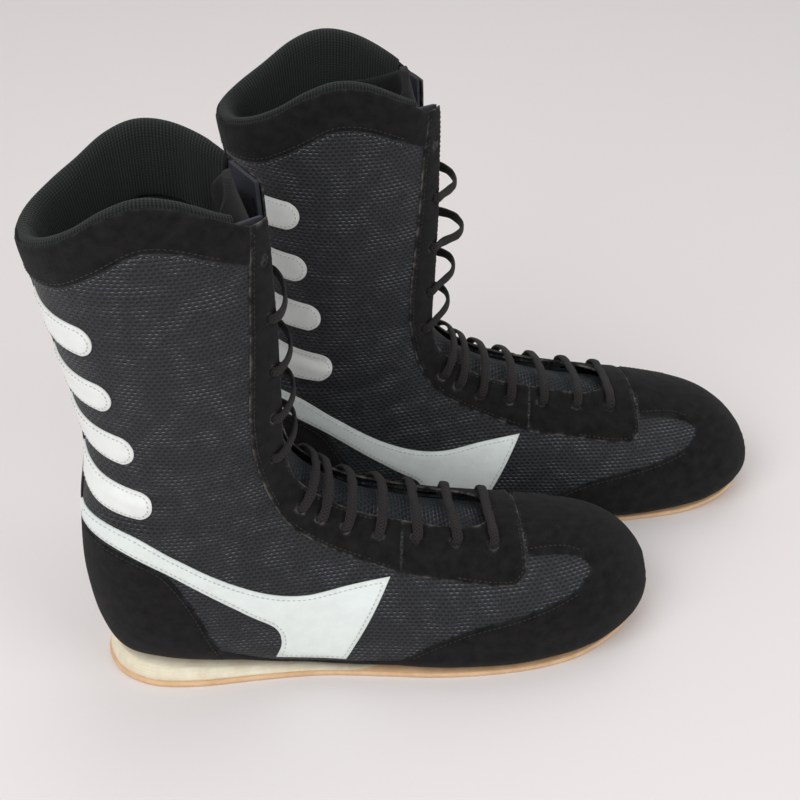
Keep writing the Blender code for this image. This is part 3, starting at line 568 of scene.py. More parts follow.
class Boot:
    """One boot: its name, its mirroring and the way from its own millimetres to the row frame."""

    def __init__(self, name, mirror, lean):
        self.name, self.mirror, self.lean = name, mirror, lean
        joint = next(j for j in frame["joints"] if j["name"] == f"{name}_ankle_flex")
        self.turn = math.atan2(-joint["axis"][0], joint["axis"][1])
        ankle = np.array(joint["pos_m"], float) / MM
        self.heel = ankle[:2] - self.spin(np.array((ANKLE[0], 0.0)))

    def spin(self, flat):
        c, s = math.cos(self.turn), math.sin(self.turn)
        return np.stack([c * flat[..., 0] - s * flat[..., 1], s * flat[..., 0] + c * flat[..., 1]], -1)

    def place(self, points):
        """Points in the row frame, in metres."""
        points = np.array(points, float).reshape(-1, 3)
        share = np.clip((points[:, 2] - ANKLE_TURN[0]) / (ANKLE_TURN[1] - ANKLE_TURN[0]), 0, 1)
        angle = math.radians(self.lean) * share**2 * (3 - 2 * share)
        x, z = points[:, 0] - ANKLE[0], points[:, 2] - ANKLE[1]
        leant_x = ANKLE[0] + x * np.cos(angle) + z * np.sin(angle)
        leant_z = ANKLE[1] - x * np.sin(angle) + z * np.cos(angle)
        across = -points[:, 1] if self.mirror else points[:, 1]
        flat = self.spin(np.stack([leant_x, across], 1)) + self.heel
        return np.column_stack([flat, leant_z]) * MM

    def piece(self, name, points, faces, uvs, look, where, nodes=(), edge=None, sharp=60):
        """A mesh piece from points in the boot's own millimetres and faces, on the boot's bodies."""
        material, slot = LOOKS[look]
        mesh = bpy.data.meshes.new(f"{self.name}_boot_{name}")
        step = -1 if self.mirror else 1
        mesh.from_pydata(self.place(points).tolist(), [], [[int(k) for k in face][::step] for face in faces])
        flat = [uv for face in uvs for uv in face[::step]]
        mesh.uv_layers.new(name="pattern").data.foreach_set("uv", np.array(flat, np.float32).ravel())
        if edge is not None:
            attribute = mesh.attributes.new("edge", "FLOAT", "POINT")
            attribute.data.foreach_set("value", np.asarray(edge, np.float32))
        mesh.materials.append(material)
        mesh.polygons.foreach_set("use_smooth", np.ones(len(mesh.polygons), bool))
        mesh.set_sharp_from_angle(angle=math.radians(sharp))
        mesh.update()
        made = bpy.data.objects.new(f"{self.name}_boot_{name}", mesh)
        bpy.context.scene.collection.objects.link(made)
        self.attach(made, where)
        if nodes:
            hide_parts(*[f"{self.name}_{node}" for node in nodes])
        return made

    def attach(self, piece, where):
        """Rides a piece on one of the boot's bodies; a piece that lies between two of them stays where it is,
        with its place baked into its points.
        """
        if where not in TURNS:
            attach(piece, f"{self.name}_{where}")
            return
        a, b, *ends = TURNS[where]
        start, end = self.place(ends)
        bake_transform(piece)

    def layer(self, name, sheet, look, where, *nodes):
        """A closed piece from a sheet: its outer and inner faces, and walls along its edges."""
        count = len(sheet.outer)
        faces = [list(face) for face in sheet.faces]
        users = {}
        for number, face in enumerate(faces):
            for a, b in zip(face, face[1:] + face[:1]):
                users.setdefault((min(a, b), max(a, b)), []).append((a, b, number))
        rim = [uses[0] for uses in users.values() if len(uses) == 1]
        walls = [(b, a, a + count, b + count) for a, b, _ in rim]
        under = [[k + count for k in face[::-1]] for face in faces]
        every = faces + under + walls
        sides = [*sheet.sides, *sheet.sides, *sheet.sides[[number for _, _, number in rim]]]
        uvs = []
        for face, side in zip(every, sides):
            flat, shift = (sheet.flat[0], 0.0) if side < 0 else (sheet.flat[1], INNER_PATTERN_SHIFT)
            uvs.append((flat[[k % count for k in face]] / 10 + shift).tolist())
        used = np.unique(np.concatenate([np.ravel(face) for face in faces + under]))
        index = np.full(2 * count, -1)
        index[used] = np.arange(len(used))
        every = [index[list(face)] for face in every]
        points = np.concatenate((sheet.outer, sheet.under))[used]
        edge = np.concatenate((sheet.edge, sheet.edge))[used]
        return self.piece(name, points, every, uvs, look, where, nodes, edge, sharp=40)

    def skin(self, name, rings, uv, look, where, nodes, sharp=60):
        """A closed piece over rings of points, with its faces turned outwards."""
        rings = np.asarray(rings)
        points = rings.reshape(-1, 3)
        faces, uvs = loft(*rings.shape[:2], uv)
        corners = points[np.array(faces[:-2])]
        way = np.cross(corners[:, 1] - corners[:, 0], corners[:, 3] - corners[:, 0])
        middles = np.repeat(rings[:-1].mean(1), rings.shape[1], axis=0)
        if (way * (corners[:, 0] - middles)).sum() < 0:
            faces, uvs = [face[::-1] for face in faces], [face[::-1] for face in uvs]
        return self.piece(name, points, faces, uvs, look, where, nodes, sharp=sharp)

    def sweep(self, name, centres, rights, ups, profiles, look, where, nodes):
        """A closed skin swept along centres: profiles holds the (right, up) offsets at each of them."""
        rings = [
            [centre + right * a + up * b for a, b in profile]
            for centre, right, up, profile in zip(centres, rights, ups, profiles)
        ]
        along = run_length(centres) / 10
        around = np.linspace(0, 1, len(rings[0]) + 1) * run_length(profiles[len(rings) // 2])[-1] / 10
        return self.skin(name, rings, lambda r, k: (along[r], around[k]), look, where, nodes)


def loft(count, ring, uv, start=0):
    """Faces and flat places of a skin over count rings of points, with a cap at each end."""
    faces, uvs = [], []
    for r in range(count - 1):
        for k in range(ring):
            a, b = start + r * ring + k, start + r * ring + (k + 1) % ring
            faces.append((a, b, b + ring, a + ring))
            uvs.append([uv(r, k), uv(r, k + 1), uv(r + 1, k + 1), uv(r + 1, k)])
    last = start + (count - 1) * ring
    faces += [tuple(range(start, start + ring))[::-1], tuple(range(last, last + ring))]
    return faces, uvs + [[(0, 0)] * ring] * 2


# ---------------------------------------------------------------- materials

class Paint:
    """A material in the making: its tree, its shader and the pattern's flat places in centimetres."""

    def __init__(self, name, roughness=0.8, sheen=0.0, sheen_roughness=0.5, tint=(1, 1, 1), specular=0.22):
        self.made = bpy.data.materials.new(name)
        self.made.use_nodes = True
        self.tree = self.made.node_tree
        self.shader = self.tree.nodes["Principled BSDF"]
        self.under = {}
        values = {
            "Roughness": roughness, "Specular IOR Level": specular, "Sheen Weight": sheen,
            "Sheen Roughness": sheen_roughness, "Sheen Tint": (*tint, 1),
        }
        for socket, value in values.items():
            self.shader.inputs[socket].default_value = value
        self.place = self.node("UVMap", uv_map="pattern")

    def node(self, kind, inputs=(), output=0, **settings):
        """An output of a new node whose inputs are linked or set."""
        made = self.tree.nodes.new(f"ShaderNode{kind}")
        for key, value in settings.items():
            setattr(made, key, value)
        for key, value in dict(inputs).items():
            if isinstance(value, bpy.types.NodeSocket):
                self.tree.links.new(value, made.inputs[key])
            else:
                made.inputs[key].default_value = value
        return made.outputs[output]

    def maths(self, operation, a, b=0.0):
        return self.node("Math", {0: a, 1: b}, operation=operation)

    def add(self, a, b):
        return self.maths("ADD", a, b)

    def times(self, a, b):
        return self.maths("MULTIPLY", a, b)

    def ribs(self, value):
        return self.maths("ABSOLUTE", self.maths("SINE", value))

    def vector(self, operation, inputs, output=0):
        return self.node("VectorMath", inputs, output, operation=operation)

    def axis(self, vector, number):
        return self.node("SeparateXYZ", {0: vector}, number)

    def noise(self, scale, detail=3.0, roughness=0.55):
        inputs = {"Vector": self.place, "Scale": scale, "Detail": detail, "Roughness": roughness}
        return self.node("TexNoise", inputs, "Fac")

    def edge(self):
        return self.node("Attribute", (), "Fac", attribute_name="edge")

    def span(self, value, low, high, first=0.0, last=1.0, kind="LINEAR"):
        """A value carried from one range to another."""
        return self.node("MapRange", {0: value, 1: low, 2: high, 3: first, 4: last}, interpolation_type=kind)

    def ramp(self, value, *stops):
        """A colour ramp of (place, colour or grey) stops."""
        made = self.node("ValToRGB", {0: value})
        elements = made.node.color_ramp.elements
        while len(elements) < len(stops):
            elements.new(0.5)
        for element, (place, colour) in zip(elements, stops):
            element.position = place
            element.color = (*(colour if isinstance(colour, tuple) else (colour,) * 3), 1)
        return made

    def mix(self, factor, under, over):
        return self.node("Mix", {"Factor": factor, 6: under, 7: (*over, 1)}, 2, data_type="RGBA")

    def link(self, value, socket="Base Color"):
        self.tree.links.new(value, self.shader.inputs[socket])

    def bump(self, height, distance, strength=1.0):
        """A bump over the ones before it."""
        inputs = {"Height": height, "Distance": distance, "Strength": strength, **self.under}
        self.under = {"Normal": self.node("Bump", inputs)}
        self.link(self.under["Normal"], "Normal")


def shade(colour, factor):
    return tuple(factor * c for c in colour)


def mesh_fabric():
    """Black spacer mesh: rows of six-sided holes, 3 mm from one to the next, with a glint low in each."""
    p = Paint("spacer_mesh", 0.55, 0.05, 0.4, (0.75, 0.85, 0.9), 0.35)
    wave = p.node("TexNoise", {"Vector": p.place, "Scale": 0.5, "Detail": 1.0}, "Color")
    p.place = p.vector("ADD", {0: p.place, 1: p.vector("SCALE", {0: wave, "Scale": 0.12})})
    cells = p.vector("MULTIPLY", {0: p.place, 1: (3.3, 4.3, 0)})
    half = (0.5, math.sqrt(3) / 2, 1)
    flats, squares = [], []
    for offset in ((0, 0, 0), half):
        moved = p.vector("SUBTRACT", {0: cells, 1: offset})
        moved = p.vector("WRAP", {0: moved, 1: half, 2: shade(half, -1)})
        flats.append(p.vector("MULTIPLY", {0: moved, 1: (1, 1, 0)}))
        squares.append(p.vector("DOT_PRODUCT", {0: flats[-1], 1: flats[-1]}, "Value"))
    nearer = p.maths("LESS_THAN", *squares)
    near = p.node("Mix", {"Factor": nearer, 4: flats[1], 5: flats[0]}, 1, data_type="VECTOR")
    side = p.vector("ABSOLUTE", {0: near})
    slant = p.vector("DOT_PRODUCT", {0: side, 1: (*half[:2], 0)}, "Value")
    yarn = p.span(p.maths("MAXIMUM", slant, p.axis(side, 0)), 0.28, 0.40, kind="SMOOTHSTEP")
    glint = p.span(p.axis(near, 1), -0.05, -0.24, kind="SMOOTHSTEP")
    glint = p.times(glint, p.maths("SUBTRACT", 1.0, yarn))
    glint = p.times(glint, p.ramp(p.noise(0.8, 3), (0.46, 0.10), (0.66, 1.0)))
    base = p.ramp(yarn, (0.0, (0.001, 0.0012, 0.0014)), (1.0, (0.018, 0.0205, 0.025)))
    p.link(p.mix(glint, base, (0.15, 0.16, 0.18)))
    p.bump(p.add(yarn, p.times(p.noise(60, 2), 0.25)), 0.0006)
    return p.made


def suede(name, pale=(0.03, 0.028, 0.027), worn=0.6):
    """Napped black leather: short fibres that lie in patches, worn paler along the cut edges."""
    black = (0.004, 0.0037, 0.0038)
    p = Paint(name, 0.95, 0.045, 0.4, (0.8, 0.8, 0.85))
    nap, lie = p.noise(22, 5, 0.75), p.noise(1.6, 4, 0.6)
    tone = p.add(p.times(nap, 0.45), p.times(lie, 0.55))
    base = p.ramp(tone, (0.36, shade(black, 0.3)), (0.66, shade(black, 3.4)))
    speck = p.ramp(p.noise(26, 2, 0.5), (0.72, 0.0), (0.80, 0.35))
    edge = p.times(p.edge(), p.ramp(lie, (0.36, 0.45), (0.58, 1.0)))
    edge = p.times(p.maths("POWER", edge, 4.0), worn)
    p.link(p.mix(edge, p.mix(speck, base, pale), pale))
    p.bump(nap, 0.0005, 0.9)
    p.bump(lie, 0.0006, 0.5)
    return p.made


def synthetic(name, colour):
    """Smooth coated synthetic: fine grain, faint dirt in patches, and painted shade, slightly yellow, near
    the edges where the stitching presses them down.
    """
    p = Paint(name, 0.4, specular=0.5)
    inputs = {"Vector": p.place, "Scale": 16.0, "Randomness": 0.9}
    grain = p.node("TexVoronoi", inputs, "Distance", feature="F1")
    stain = p.noise(1.3, 4, 0.6)
    base = p.ramp(stain, (0.30, shade(colour, 0.94)), (0.62, colour))
    # Painted shade: the colour turns darker and slightly yellow near the piece's edges, where the stitching
    # presses them down.
    edge = p.times(p.maths("POWER", p.edge(), 1.5), 0.75)
    p.link(p.mix(edge, base, (*shade(colour[:2], 0.80), 0.79 * colour[2])))
    p.link(p.span(stain, 0.3, 0.7, 0.34, 0.5), "Roughness")
    p.bump(grain, 0.00012, 0.5)
    p.bump(p.noise(4, 2), 0.0005, 0.35)
    return p.made


def thread(name, colour):
    """Twisted sewing thread."""
    p = Paint(name, 0.6, 0.2)
    inputs = {"Vector": p.place, "Scale": 12.0, "Distortion": 1.0}
    twist = p.node("TexWave", inputs, "Fac", bands_direction="DIAGONAL")
    p.link(p.ramp(twist, (0.0, shade(colour, 0.7)), (1.0, colour)))
    p.bump(twist, 0.0001, 0.6)
    return p.made


def knit(name, colour, pale, ribs):
    """Ribbed knit: rounded ribs with small stitches across them."""
    p = Paint(name, 0.9, 0.08, 0.5, (0.8, 0.9, 0.88))
    rib = p.ribs(p.times(p.axis(p.place, 0), ribs * math.pi))
    loop = p.maths("SINE", p.times(p.axis(p.place, 1), 16 * math.pi))
    height = p.add(p.add(rib, p.times(loop, 0.22)), p.times(p.noise(40, 3, 0.6), 0.3))
    p.link(p.ramp(height, (0.2, shade(colour, 0.45)), (0.9, colour), (1.0, pale)))
    p.bump(height, 0.0004, 0.9)
    return p.made


def rubber(name, colour, dark, grain, distance, roughness, specular):
    """Foam or gum: small pores, faint streaks along the sole and scuffed patches."""
    p = Paint(name, roughness, specular=specular)
    scuffs = p.noise(0.9, 4, 0.6)
    inputs = {"Vector": p.place, "Scale": 2.2, "Distortion": 3.0, "Detail": 2.0}
    streak = p.node("TexWave", inputs, "Fac", bands_direction="Y")
    tone = p.add(p.times(scuffs, 0.93), p.times(streak, 0.07))
    p.link(p.ramp(tone, (0.25, dark), (0.62, colour)))
    p.link(p.span(scuffs, 0.3, 0.7, roughness + 0.12, roughness - 0.08), "Roughness")
    p.bump(p.noise(grain, 4, 0.65), distance, 0.6)
    return p.made


def braid():
    """Flat braided lace: two sets of slanted yarns, in flat places measured along and round the lace."""
    p = Paint("lace_braid", 0.75, 0.06, 0.4)
    along, around = (p.times(p.axis(p.place, k), turns * math.pi) for k, turns in ((0, 6), (1, 7)))
    weave = p.maths("MAXIMUM", p.ribs(p.add(along, around)), p.ribs(p.maths("SUBTRACT", along, around)))
    height = p.add(weave, p.times(p.noise(50, 2), 0.3))
    p.link(p.ramp(height, (0.55, (0.003, 0.0028, 0.0028)), (1.0, (0.020, 0.018, 0.0175))))
    p.bump(height, 0.0007)
    return p.made


def plain_cloth(name, colour, roughness=0.85, weave=22.0):
    """Plain woven tape or board with a fine square weave."""
    p = Paint(name, roughness, 0.06)
    weft = p.times(*[p.ribs(p.times(p.axis(p.place, k), weave * math.pi)) for k in (0, 1)])
    tone = p.add(p.times(weft, 0.4), p.times(p.noise(2.0, 4), 0.6))
    p.link(p.ramp(tone, (0.2, shade(colour, 0.6)), (0.7, shade(colour, 1.2))))
    p.bump(weft, 0.0002, 0.7)
    return p.made


# Each look: its material, and the record's slot of the pieces that have it.
LOOKS = {
    "mesh": (mesh_fabric(), "mesh"),
    "suede": (suede("black_suede"), "suede"),
    "flap": (suede("flap_suede", (0.14, 0.13, 0.12), 0.9), "suede"),
    "white": (synthetic("white_synthetic", (0.76, 0.82, 0.80)), "synthetic"),
    "tab": (synthetic("tab_synthetic", (0.80, 0.83, 0.81)), "synthetic"),
    "white_thread": (thread("white_thread", (0.55, 0.56, 0.55)), "synthetic"),
    "black_thread": (thread("black_thread", (0.02, 0.0195, 0.0195)), "suede"),
    # Short pale stitches under the collar band: the stitch holes are real, and their paleness is a painted
    # glint.
    "painted_glint_thread": (thread("painted_glint_thread", (0.16, 0.175, 0.18)), "mesh"),
    "collar": (knit("collar_knit", (0.009, 0.0105, 0.0102), (0.02, 0.023, 0.022), 6.0), "padding"),
    "lining": (knit("lining_knit", (0.007, 0.008, 0.008), (0.016, 0.018, 0.018), 8.0), "knit"),
    "facing": (plain_cloth("facing_tape", (0.034, 0.038, 0.050)), "knit"),
    "tongue": (plain_cloth("tongue_cloth", (0.010, 0.011, 0.0115), 0.9, 14.0), "knit"),
    "foam": (rubber("cream_foam", (0.82, 0.76, 0.60), (0.66, 0.58, 0.42), 30, 0.0002, 0.6, 0.22), "foam"),
    "gum": (rubber("gum_rubber", (0.74, 0.50, 0.29), (0.58, 0.36, 0.19), 12, 0.00015, 0.5, 0.5), "gum"),
    "lace": (braid(), "lace"),
    "board": (plain_cloth("insole_board", (0.35, 0.27, 0.18), 0.85, 10.0), ""),
    "stiffener": (plain_cloth("stiffener_sheet", (0.5, 0.5, 0.48), 0.7, 12.0), ""),
}
LOOKS["tongue_mesh"] = (LOOKS["mesh"][0], "knit")


# ---------------------------------------------------------------- pieces of the upper

def stitches(boot, name, rows, look, where, length=1.7, gap=0.9, radius=0.24):
    """A sewn row: small rounded stitches along lines of (side, places, height over the surface)."""
    ring = 6
    angles = [2 * math.pi * k / ring for k in range(ring)]
    profile = ((-1.0, 0.15), (-0.6, 0.8), (0.0, 1.0), (0.6, 0.8), (1.0, 0.15))
    points, faces, uvs = [], [], []
    for side, line, height in rows:
        along = run_length(line)
        middles = np.arange(length, along[-1] - length / 2, length + gap)
        ends = []
        for shift in (-length / 2, length / 2):
            places = np.stack([np.interp(middles + shift, along, line[:, k]) for k in (0, 1)], 1)
            ends += HALVES[side].at(*HALVES[side].roll(places))
        for a, na, b, nb in zip(*ends):
            way = (b - a) / 2
            if not 0.3 * length < 2 * np.linalg.norm(way) < 2 * length:
                continue
            up = (na + nb) / np.linalg.norm(na + nb)
            sidewise = np.cross(way, up)
            sidewise /= np.linalg.norm(sidewise)
            centre = (a + b) / 2 + up * height
            made = loft(len(profile), ring, lambda r, k: (r * 0.05, k * 0.03), len(points))
            faces += made[0]
            uvs += made[1]
            offsets = [sidewise * math.cos(angle) + up * math.sin(angle) * 0.8 for angle in angles]
            points += [
                centre + way * reach + offset * radius * size for reach, size in profile for offset in offsets
            ]
    boot.piece(name, points, faces, uvs, look, where, sharp=180)


def both(runs_of):
    """The two halves of a piece that goes over the centre line."""
    return [(side, *runs_of(side)) for side in (-1, 1)]


def free(*lines):
    """Runs of an outline that all lie on free edges."""
    return [(line, True) for line in lines]


def sewn(points, shift_x, shift_z, height):
    """Rows of stitches on both sides, along a line in side view that is moved a little."""
    line = [(x + shift_x, z + shift_z) for x, z in points]
    return [(side, HALVES[side].side_line(line), height) for side in (-1, 1)]


def in_throat(points):
    """Whether points are in the gap between the flaps, or under their edges."""
    x, y, z = points.T
    ahead = (x > 88) & (z > 50)
    return (np.abs(y) < 20.0) & (x < 203) & (ahead | (z > 262))


def below_rim(points):
    """Whether points are under the rim's line."""
    rim = np.array(RIM + ((100, 251),))
    return points[:, 2] < np.interp(points[:, 0], rim[:, 0], rim[:, 1]) - 1.0


def nearest_number(x, z):
    return float(OUTER.from_side_view([(x, z)])[0][0])


def eyelet_holes(side, numbers):
    """Round holes at the eyelets, as loops on the unrolled surface."""
    half = HALVES[side]
    angles = np.linspace(0, 2 * math.pi, 14, endpoint=False)
    circle = EYELET_HOLE * np.stack([np.cos(angles), np.sin(angles)], 1)
    return [half.unroll(np.array([n]), half.from_across([n], EYELET_Y))[0] + circle for n in numbers]


def build_mesh(boot):
    """The spacer mesh: one piece from heel to rim, and one over the vamp and the toes."""
    split = 9.4
    shares = np.concatenate((np.linspace(0, 0.12, 7)[:-1], np.linspace(0.12, 1, 56)))
    numbers = np.arange(split, 28.81, 0.11)
    sheet = grid_sheet(numbers, shares, lambda p: ~in_throat(p) & below_rim(p), 0.0, MESH)
    boot.layer("mesh_quarter", sheet, "mesh", "ankle", "mesh_quarter", "mesh_shaft")
    sheet = grid_sheet(np.linspace(0, split, 96), shares, lambda p: ~in_throat(p), 0.0, MESH)
    boot.layer("mesh_vamp", sheet, "mesh", "ball", "mesh_vamp")


def build_lining(boot):
    """The knit lining inside the foot and the shaft."""
    sheet = grid_sheet(
        np.linspace(7.4, 26.8, 70), np.linspace(0, 1, 33), lambda p: ~in_throat(p + np.array((3, 0, 0))),
        -LINING_DEPTH, LINING_DEPTH + 1.3,
    )
    boot.layer("lining", sheet, "lining", "ankle", "lining_foot", "lining_shaft")


def build_eyestays(boot):
    """The two lace flaps from the throat piece to the rim, with a facing strip behind their tops."""
    seam, top = nearest_number(*THROAT_SEAM), nearest_number(92, 256.5)
    low, high = nearest_number(94, 212), nearest_number(92, 257.5)
    for side, label in SIDES:
        half = HALVES[side]
        rear, front = half.side_line(STAY_REAR), half.front_line(seam, top, FLAP_Y)
        runs = free(rear, front, spline((front[-1], rear[0])))
        holes = eyelet_holes(side, (*FOOT_EYELETS[3:], *SHAFT_EYELETS, TOP_EYELET))
        boot.layer(
            f"eyestay_{label}", patch([(side, runs, holes)], 1.35), "flap", "ankle",
            f"eyestay_foot_{label}", f"eyestay_shaft_{label}",
        )
        line = inset(join_runs(runs)[0], 2.0)
        rows = [(side, line[: int(len(rear) * 0.97)], 1.2), (side, line[len(rear) + 4 : -6], 1.2)]
        stitches(boot, f"eyestay_stitches_{label}", rows, "black_thread", "ankle")
        runs = free(half.side_line(FACING_REAR), half.front_line(low, high, FLAP_Y + 1.0))
        boot.layer(f"facing_{label}", patch([(side, runs, [])], -2.0, 2.9), "facing", "shaft")


def build_throat(boot):
    """The U-shaped piece at the toe end of the lacing."""
    end, round_start, front = 7.0, 8.0, 6.35
    seam = nearest_number(*THROAT_SEAM)

    def runs_of(side):
        half = HALVES[side]
        curve = np.linspace(end, round_start, 14)
        across = FLAP_Y * np.sqrt(np.clip(1 - (round_start - curve) ** 2, 0, 1))
        runs = [(half.ring_line(np.linspace(front, end, 8), 1.0)[:-1], False)]
        runs += free(
            half.unroll(curve, half.from_across(curve, across)), half.front_line(round_start, seam, FLAP_Y),
            half.side_line(THROAT_LOW), half.line_to_centre(THROAT_LOW[-1], front, 24),
        )
        return runs, eyelet_holes(side, FOOT_EYELETS[:3])

    boot.layer("throat_piece", patch(both(runs_of), 1.25), "flap", "ball", "throat_piece")
    rows = []
    for side, _ in SIDES:
        line = inset(join_runs(runs_of(side)[0])[0], 2.0)
        rows.append((side, line[int(len(line) * 0.52) : -3], 1.15))
    stitches(boot, "throat_stitches", rows, "black_thread", "ball")


def build_band(boot):
    """The suede band under the rim."""

    def runs_of(side):
        half = HALVES[side]
        rim, low = half.side_line(RIM), half.side_line(BAND_EDGE[::-1])
        back = half.ring_line(np.linspace(nearest_number(*BAND_EDGE[0]), nearest_number(*RIM[0]), 10), 0.0)
        rim[0], low[-1] = back[-1], back[0]
        return [(back, False), *free(rim, low)], []

    boot.layer("collar_band", patch(both(runs_of), 1.0, 1.8), "suede", "shaft", "collar_band")
    stitches(boot, "band_stitches", sewn(BAND_EDGE[:-1], 0, 2.2, 1.1), "black_thread", "shaft")
    # A row of short pale stitches just under the band: real stitch holes in the mesh, made pale as painted
    # glints.
    rows = sewn(BAND_EDGE[:-1], 0, -1.9, 0.1)
    stitches(boot, "band_glint_specks", rows, "painted_glint_thread", "shaft", length=0.9, gap=1.7, radius=0.28)


def build_heel(boot):
    """The suede heel counter, the back strip, the tabs, the side band and the low rand."""

    def counter(side):
        half = HALVES[side]
        top = half.side_line(COUNTER_TOP)
        first, last = nearest_number(24, 12.5), nearest_number(*COUNTER_TOP[0])
        back = half.ring_line(np.linspace(first, last, 24), 0.0)
        low = half.ring_line(np.linspace(nearest_number(65, 9), first, 16), LOW_SHARE)
        top[0], low[-1] = back[-1], back[0]
        return [(back, False), *free(top, low)], []

    def strip(side):
        half = HALVES[side]
        numbers = np.linspace(nearest_number(-1.5, 91), nearest_number(-10.4, 234.5), 60)
        back = half.ring_line(numbers, 0.0)
        front = half.unroll(numbers, BACK_STRIP / half.row_value(half.length, numbers))[::-1]
        return [(back[:-1], False), *free(back[-1:], front)], []

    boot.layer("heel_counter", patch(both(counter), 0.95), "suede", "foot", "heel_counter")
    boot.layer("back_strip", patch(both(strip), 0.9, step=2.0), "suede", "ankle")
    for side, label in SIDES:
        half = HALVES[side]
        build_tabs(boot, side, label)
        runs = free(*[half.side_line(line) for line in (STRIPE_TOP, STRIPE_END, STRIPE_FOOT, STRIPE_LOW)])
        boot.layer(f"stripe_{label}", patch([(side, runs, [])], 1.15), "white", "ankle", f"stripe_{label}")
        line = inset(join_runs(runs)[0], 2.0)
        rows = [(side, np.concatenate((line, line[:1])), 1.2)]
        stitches(boot, f"stripe_stitches_{label}", rows, "white_thread", "ankle")
        numbers = np.linspace(nearest_number(152, 6), nearest_number(60, 10), 30)
        runs = free(half.side_line(RAND_TOP), half.ring_line(numbers, LOW_SHARE))
        rand = patch([(side, runs, [])], 0.85, step=2.0)
        boot.layer(f"rand_{label}", rand, "suede", "foot", f"rand_{label}")
        rows = [row for row in sewn(COUNTER_TOP[1:-1], -2.0, -0.6, 1.0) if row[0] == side]
        stitches(boot, f"counter_stitches_{label}", rows, "black_thread", "foot")


def build_tabs(boot, side, label):
    """The four white tabs of one side, from the back strip forward, with a sewn row inside each."""
    half = HALVES[side]
    angles = np.radians(np.linspace(80, -80, 15))
    rows = []
    for number, (middle, *reaches) in enumerate(TABS):
        reach = reaches[0 if side < 0 else 1]
        back = half.from_side_view([(-20, middle + TAB_HALF), (-20, middle - TAB_HALF)])[0]
        start = half.unroll(back, (BACK_STRIP - 1.0) / half.row_value(half.length, back))
        centre = half.side_line([(reach - TAB_HALF, middle - TAB_DROP), (reach, middle - TAB_DROP)])[0]
        tip = centre + TAB_HALF * 0.86 * np.stack([np.cos(angles), np.sin(angles)], 1)
        upper = spline((start[0], (start[0] + tip[0]) / 2 + (0.6, -1.0), tip[0]))
        lower = spline((tip[-1], (start[1] + tip[-1]) / 2 + (-0.6, -0.8), start[1]))
        runs = free(upper, tip, lower)
        where = "ankle" if middle < TAB_BEND_TOP else "shaft"
        boot.layer(f"tab_{label}_{number + 1}", patch([(side, runs, [])], 1.1, step=2.2), "tab", where)
        rows.append((side, inset(join_runs(runs)[0], 1.7), 1.15))
    stitches(boot, f"tab_stitches_{label}", rows, "white_thread", "ankle", length=1.3, radius=0.26)


def build_toe_cap(boot):
    """The suede toe cap with its central strip between two mesh windows, and its rising rear edges."""
    back = nearest_number(217, 68)

    def runs_of(side):
        half = HALVES[side]
        runs = [(half.ring_line(np.linspace(back, TIP_ROW, 60), 1.0), False)]
        runs += free(
            half.ring_line(np.full(12, TIP_ROW), np.linspace(1.0, LOW_SHARE, 12)),
            half.ring_line(np.linspace(TIP_ROW, nearest_number(149, 6), 70), LOW_SHARE),
            half.side_line(TOE_RAND), half.side_line(WINDOW_TOP),
            half.line_to_centre(WINDOW_TOP[-1], back, 20),
        )
        return runs, []

    boot.layer("toe_cap", patch(both(runs_of), 0.95), "suede", "ball", "toe_cap")
    numbers, shares = np.linspace(0, TIP_ROW + 0.15, 16), np.linspace(0, 1, 28)
    tip = grid_sheet(numbers, shares, lambda p: p[:, 2] > 0, 0.8, 0.3)
    boot.layer("toe_tip", tip, "suede", "ball")
    lower, upper = sewn(TOE_RAND[1:-1], 0, -2.0, 1.05), sewn(WINDOW_TOP[2:], 0, 2.0, 1.05)
    rows = [row for pair in zip(lower, upper) for row in pair]
    stitches(boot, "toe_stitches", rows, "black_thread", "ball")


# ---------------------------------------------------------------- collar, tongue, laces

def build_collar(boot):
    """The padded collar: a roll over the rim that runs down inside the shaft."""
    line = spline([p for p in RIM if p[0] < 84] + [(82, 263.5)], 2.0)
    outer_n, outer_s = OUTER.from_side_view(line)
    inner_n, inner_s = INNER.from_side_view(line)
    halves = OUTER.at(outer_n[::-1], outer_s[::-1]), INNER.at(inner_n[1:], inner_s[1:])
    points, normals = (np.concatenate(parts) for parts in zip(*halves))
    for _ in range(2):
        for k in range(3):
            normals[:, k] = np.convolve(np.pad(normals[:, k], 2, mode="edge"), np.ones(5) / 5, "valid")
    normals[:, 2] = 0
    normals /= np.linalg.norm(normals, axis=1, keepdims=True)
    lean = 0.2 * np.clip((45 - points[:, 0]) / 50, 0, 1)
    total = len(points)
    downs = np.stack([lean, np.zeros(total), np.full(total, -1.0)], 1)
    shape = spline((
        (3.2, 6.0), (1.4, 2.6), (0.4, 0.4), (0.8, -1.6), (3.2, -2.6), (6.0, -1.8), (7.9, 0.6), (8.6, 4.0),
        (8.9, 10.0), (9.0, 18.0), (8.6, 26.0), (7.6, 32.0), (6.2, 34.0), (5.0, 31.0), (4.4, 22.0),
        (3.8, 13.0), (3.2, 6.0),
    ), 1.6)[:-1]
    profiles = []
    for k in range(total):
        swell = 1 + 0.06 * math.sin(k * 0.33) + 0.04 * math.sin(k * 0.71 + 1)
        swell *= min(1.0, 0.55 + min(k, total - 1 - k) * 0.09)
        profiles.append([(3.0 + (a - 3.0) * swell, b) for a, b in shape])
    piece = boot.sweep(
        "collar_padding", points, -normals, downs, profiles, "collar", "shaft", ("collar_padding",)
    )


def over_throat(number, across, height):
    """A point over the front of the boot at a distance across, its normal and the way towards the toe."""
    half = OUTER if across < 0 else INNER
    numbers = [number, number - 0.3]
    (point, ahead), normals = half.at(np.array(numbers), half.from_across(numbers, abs(across)))
    way = ahead - point
    return point + normals[0] * height, normals[0], way / np.linalg.norm(way)


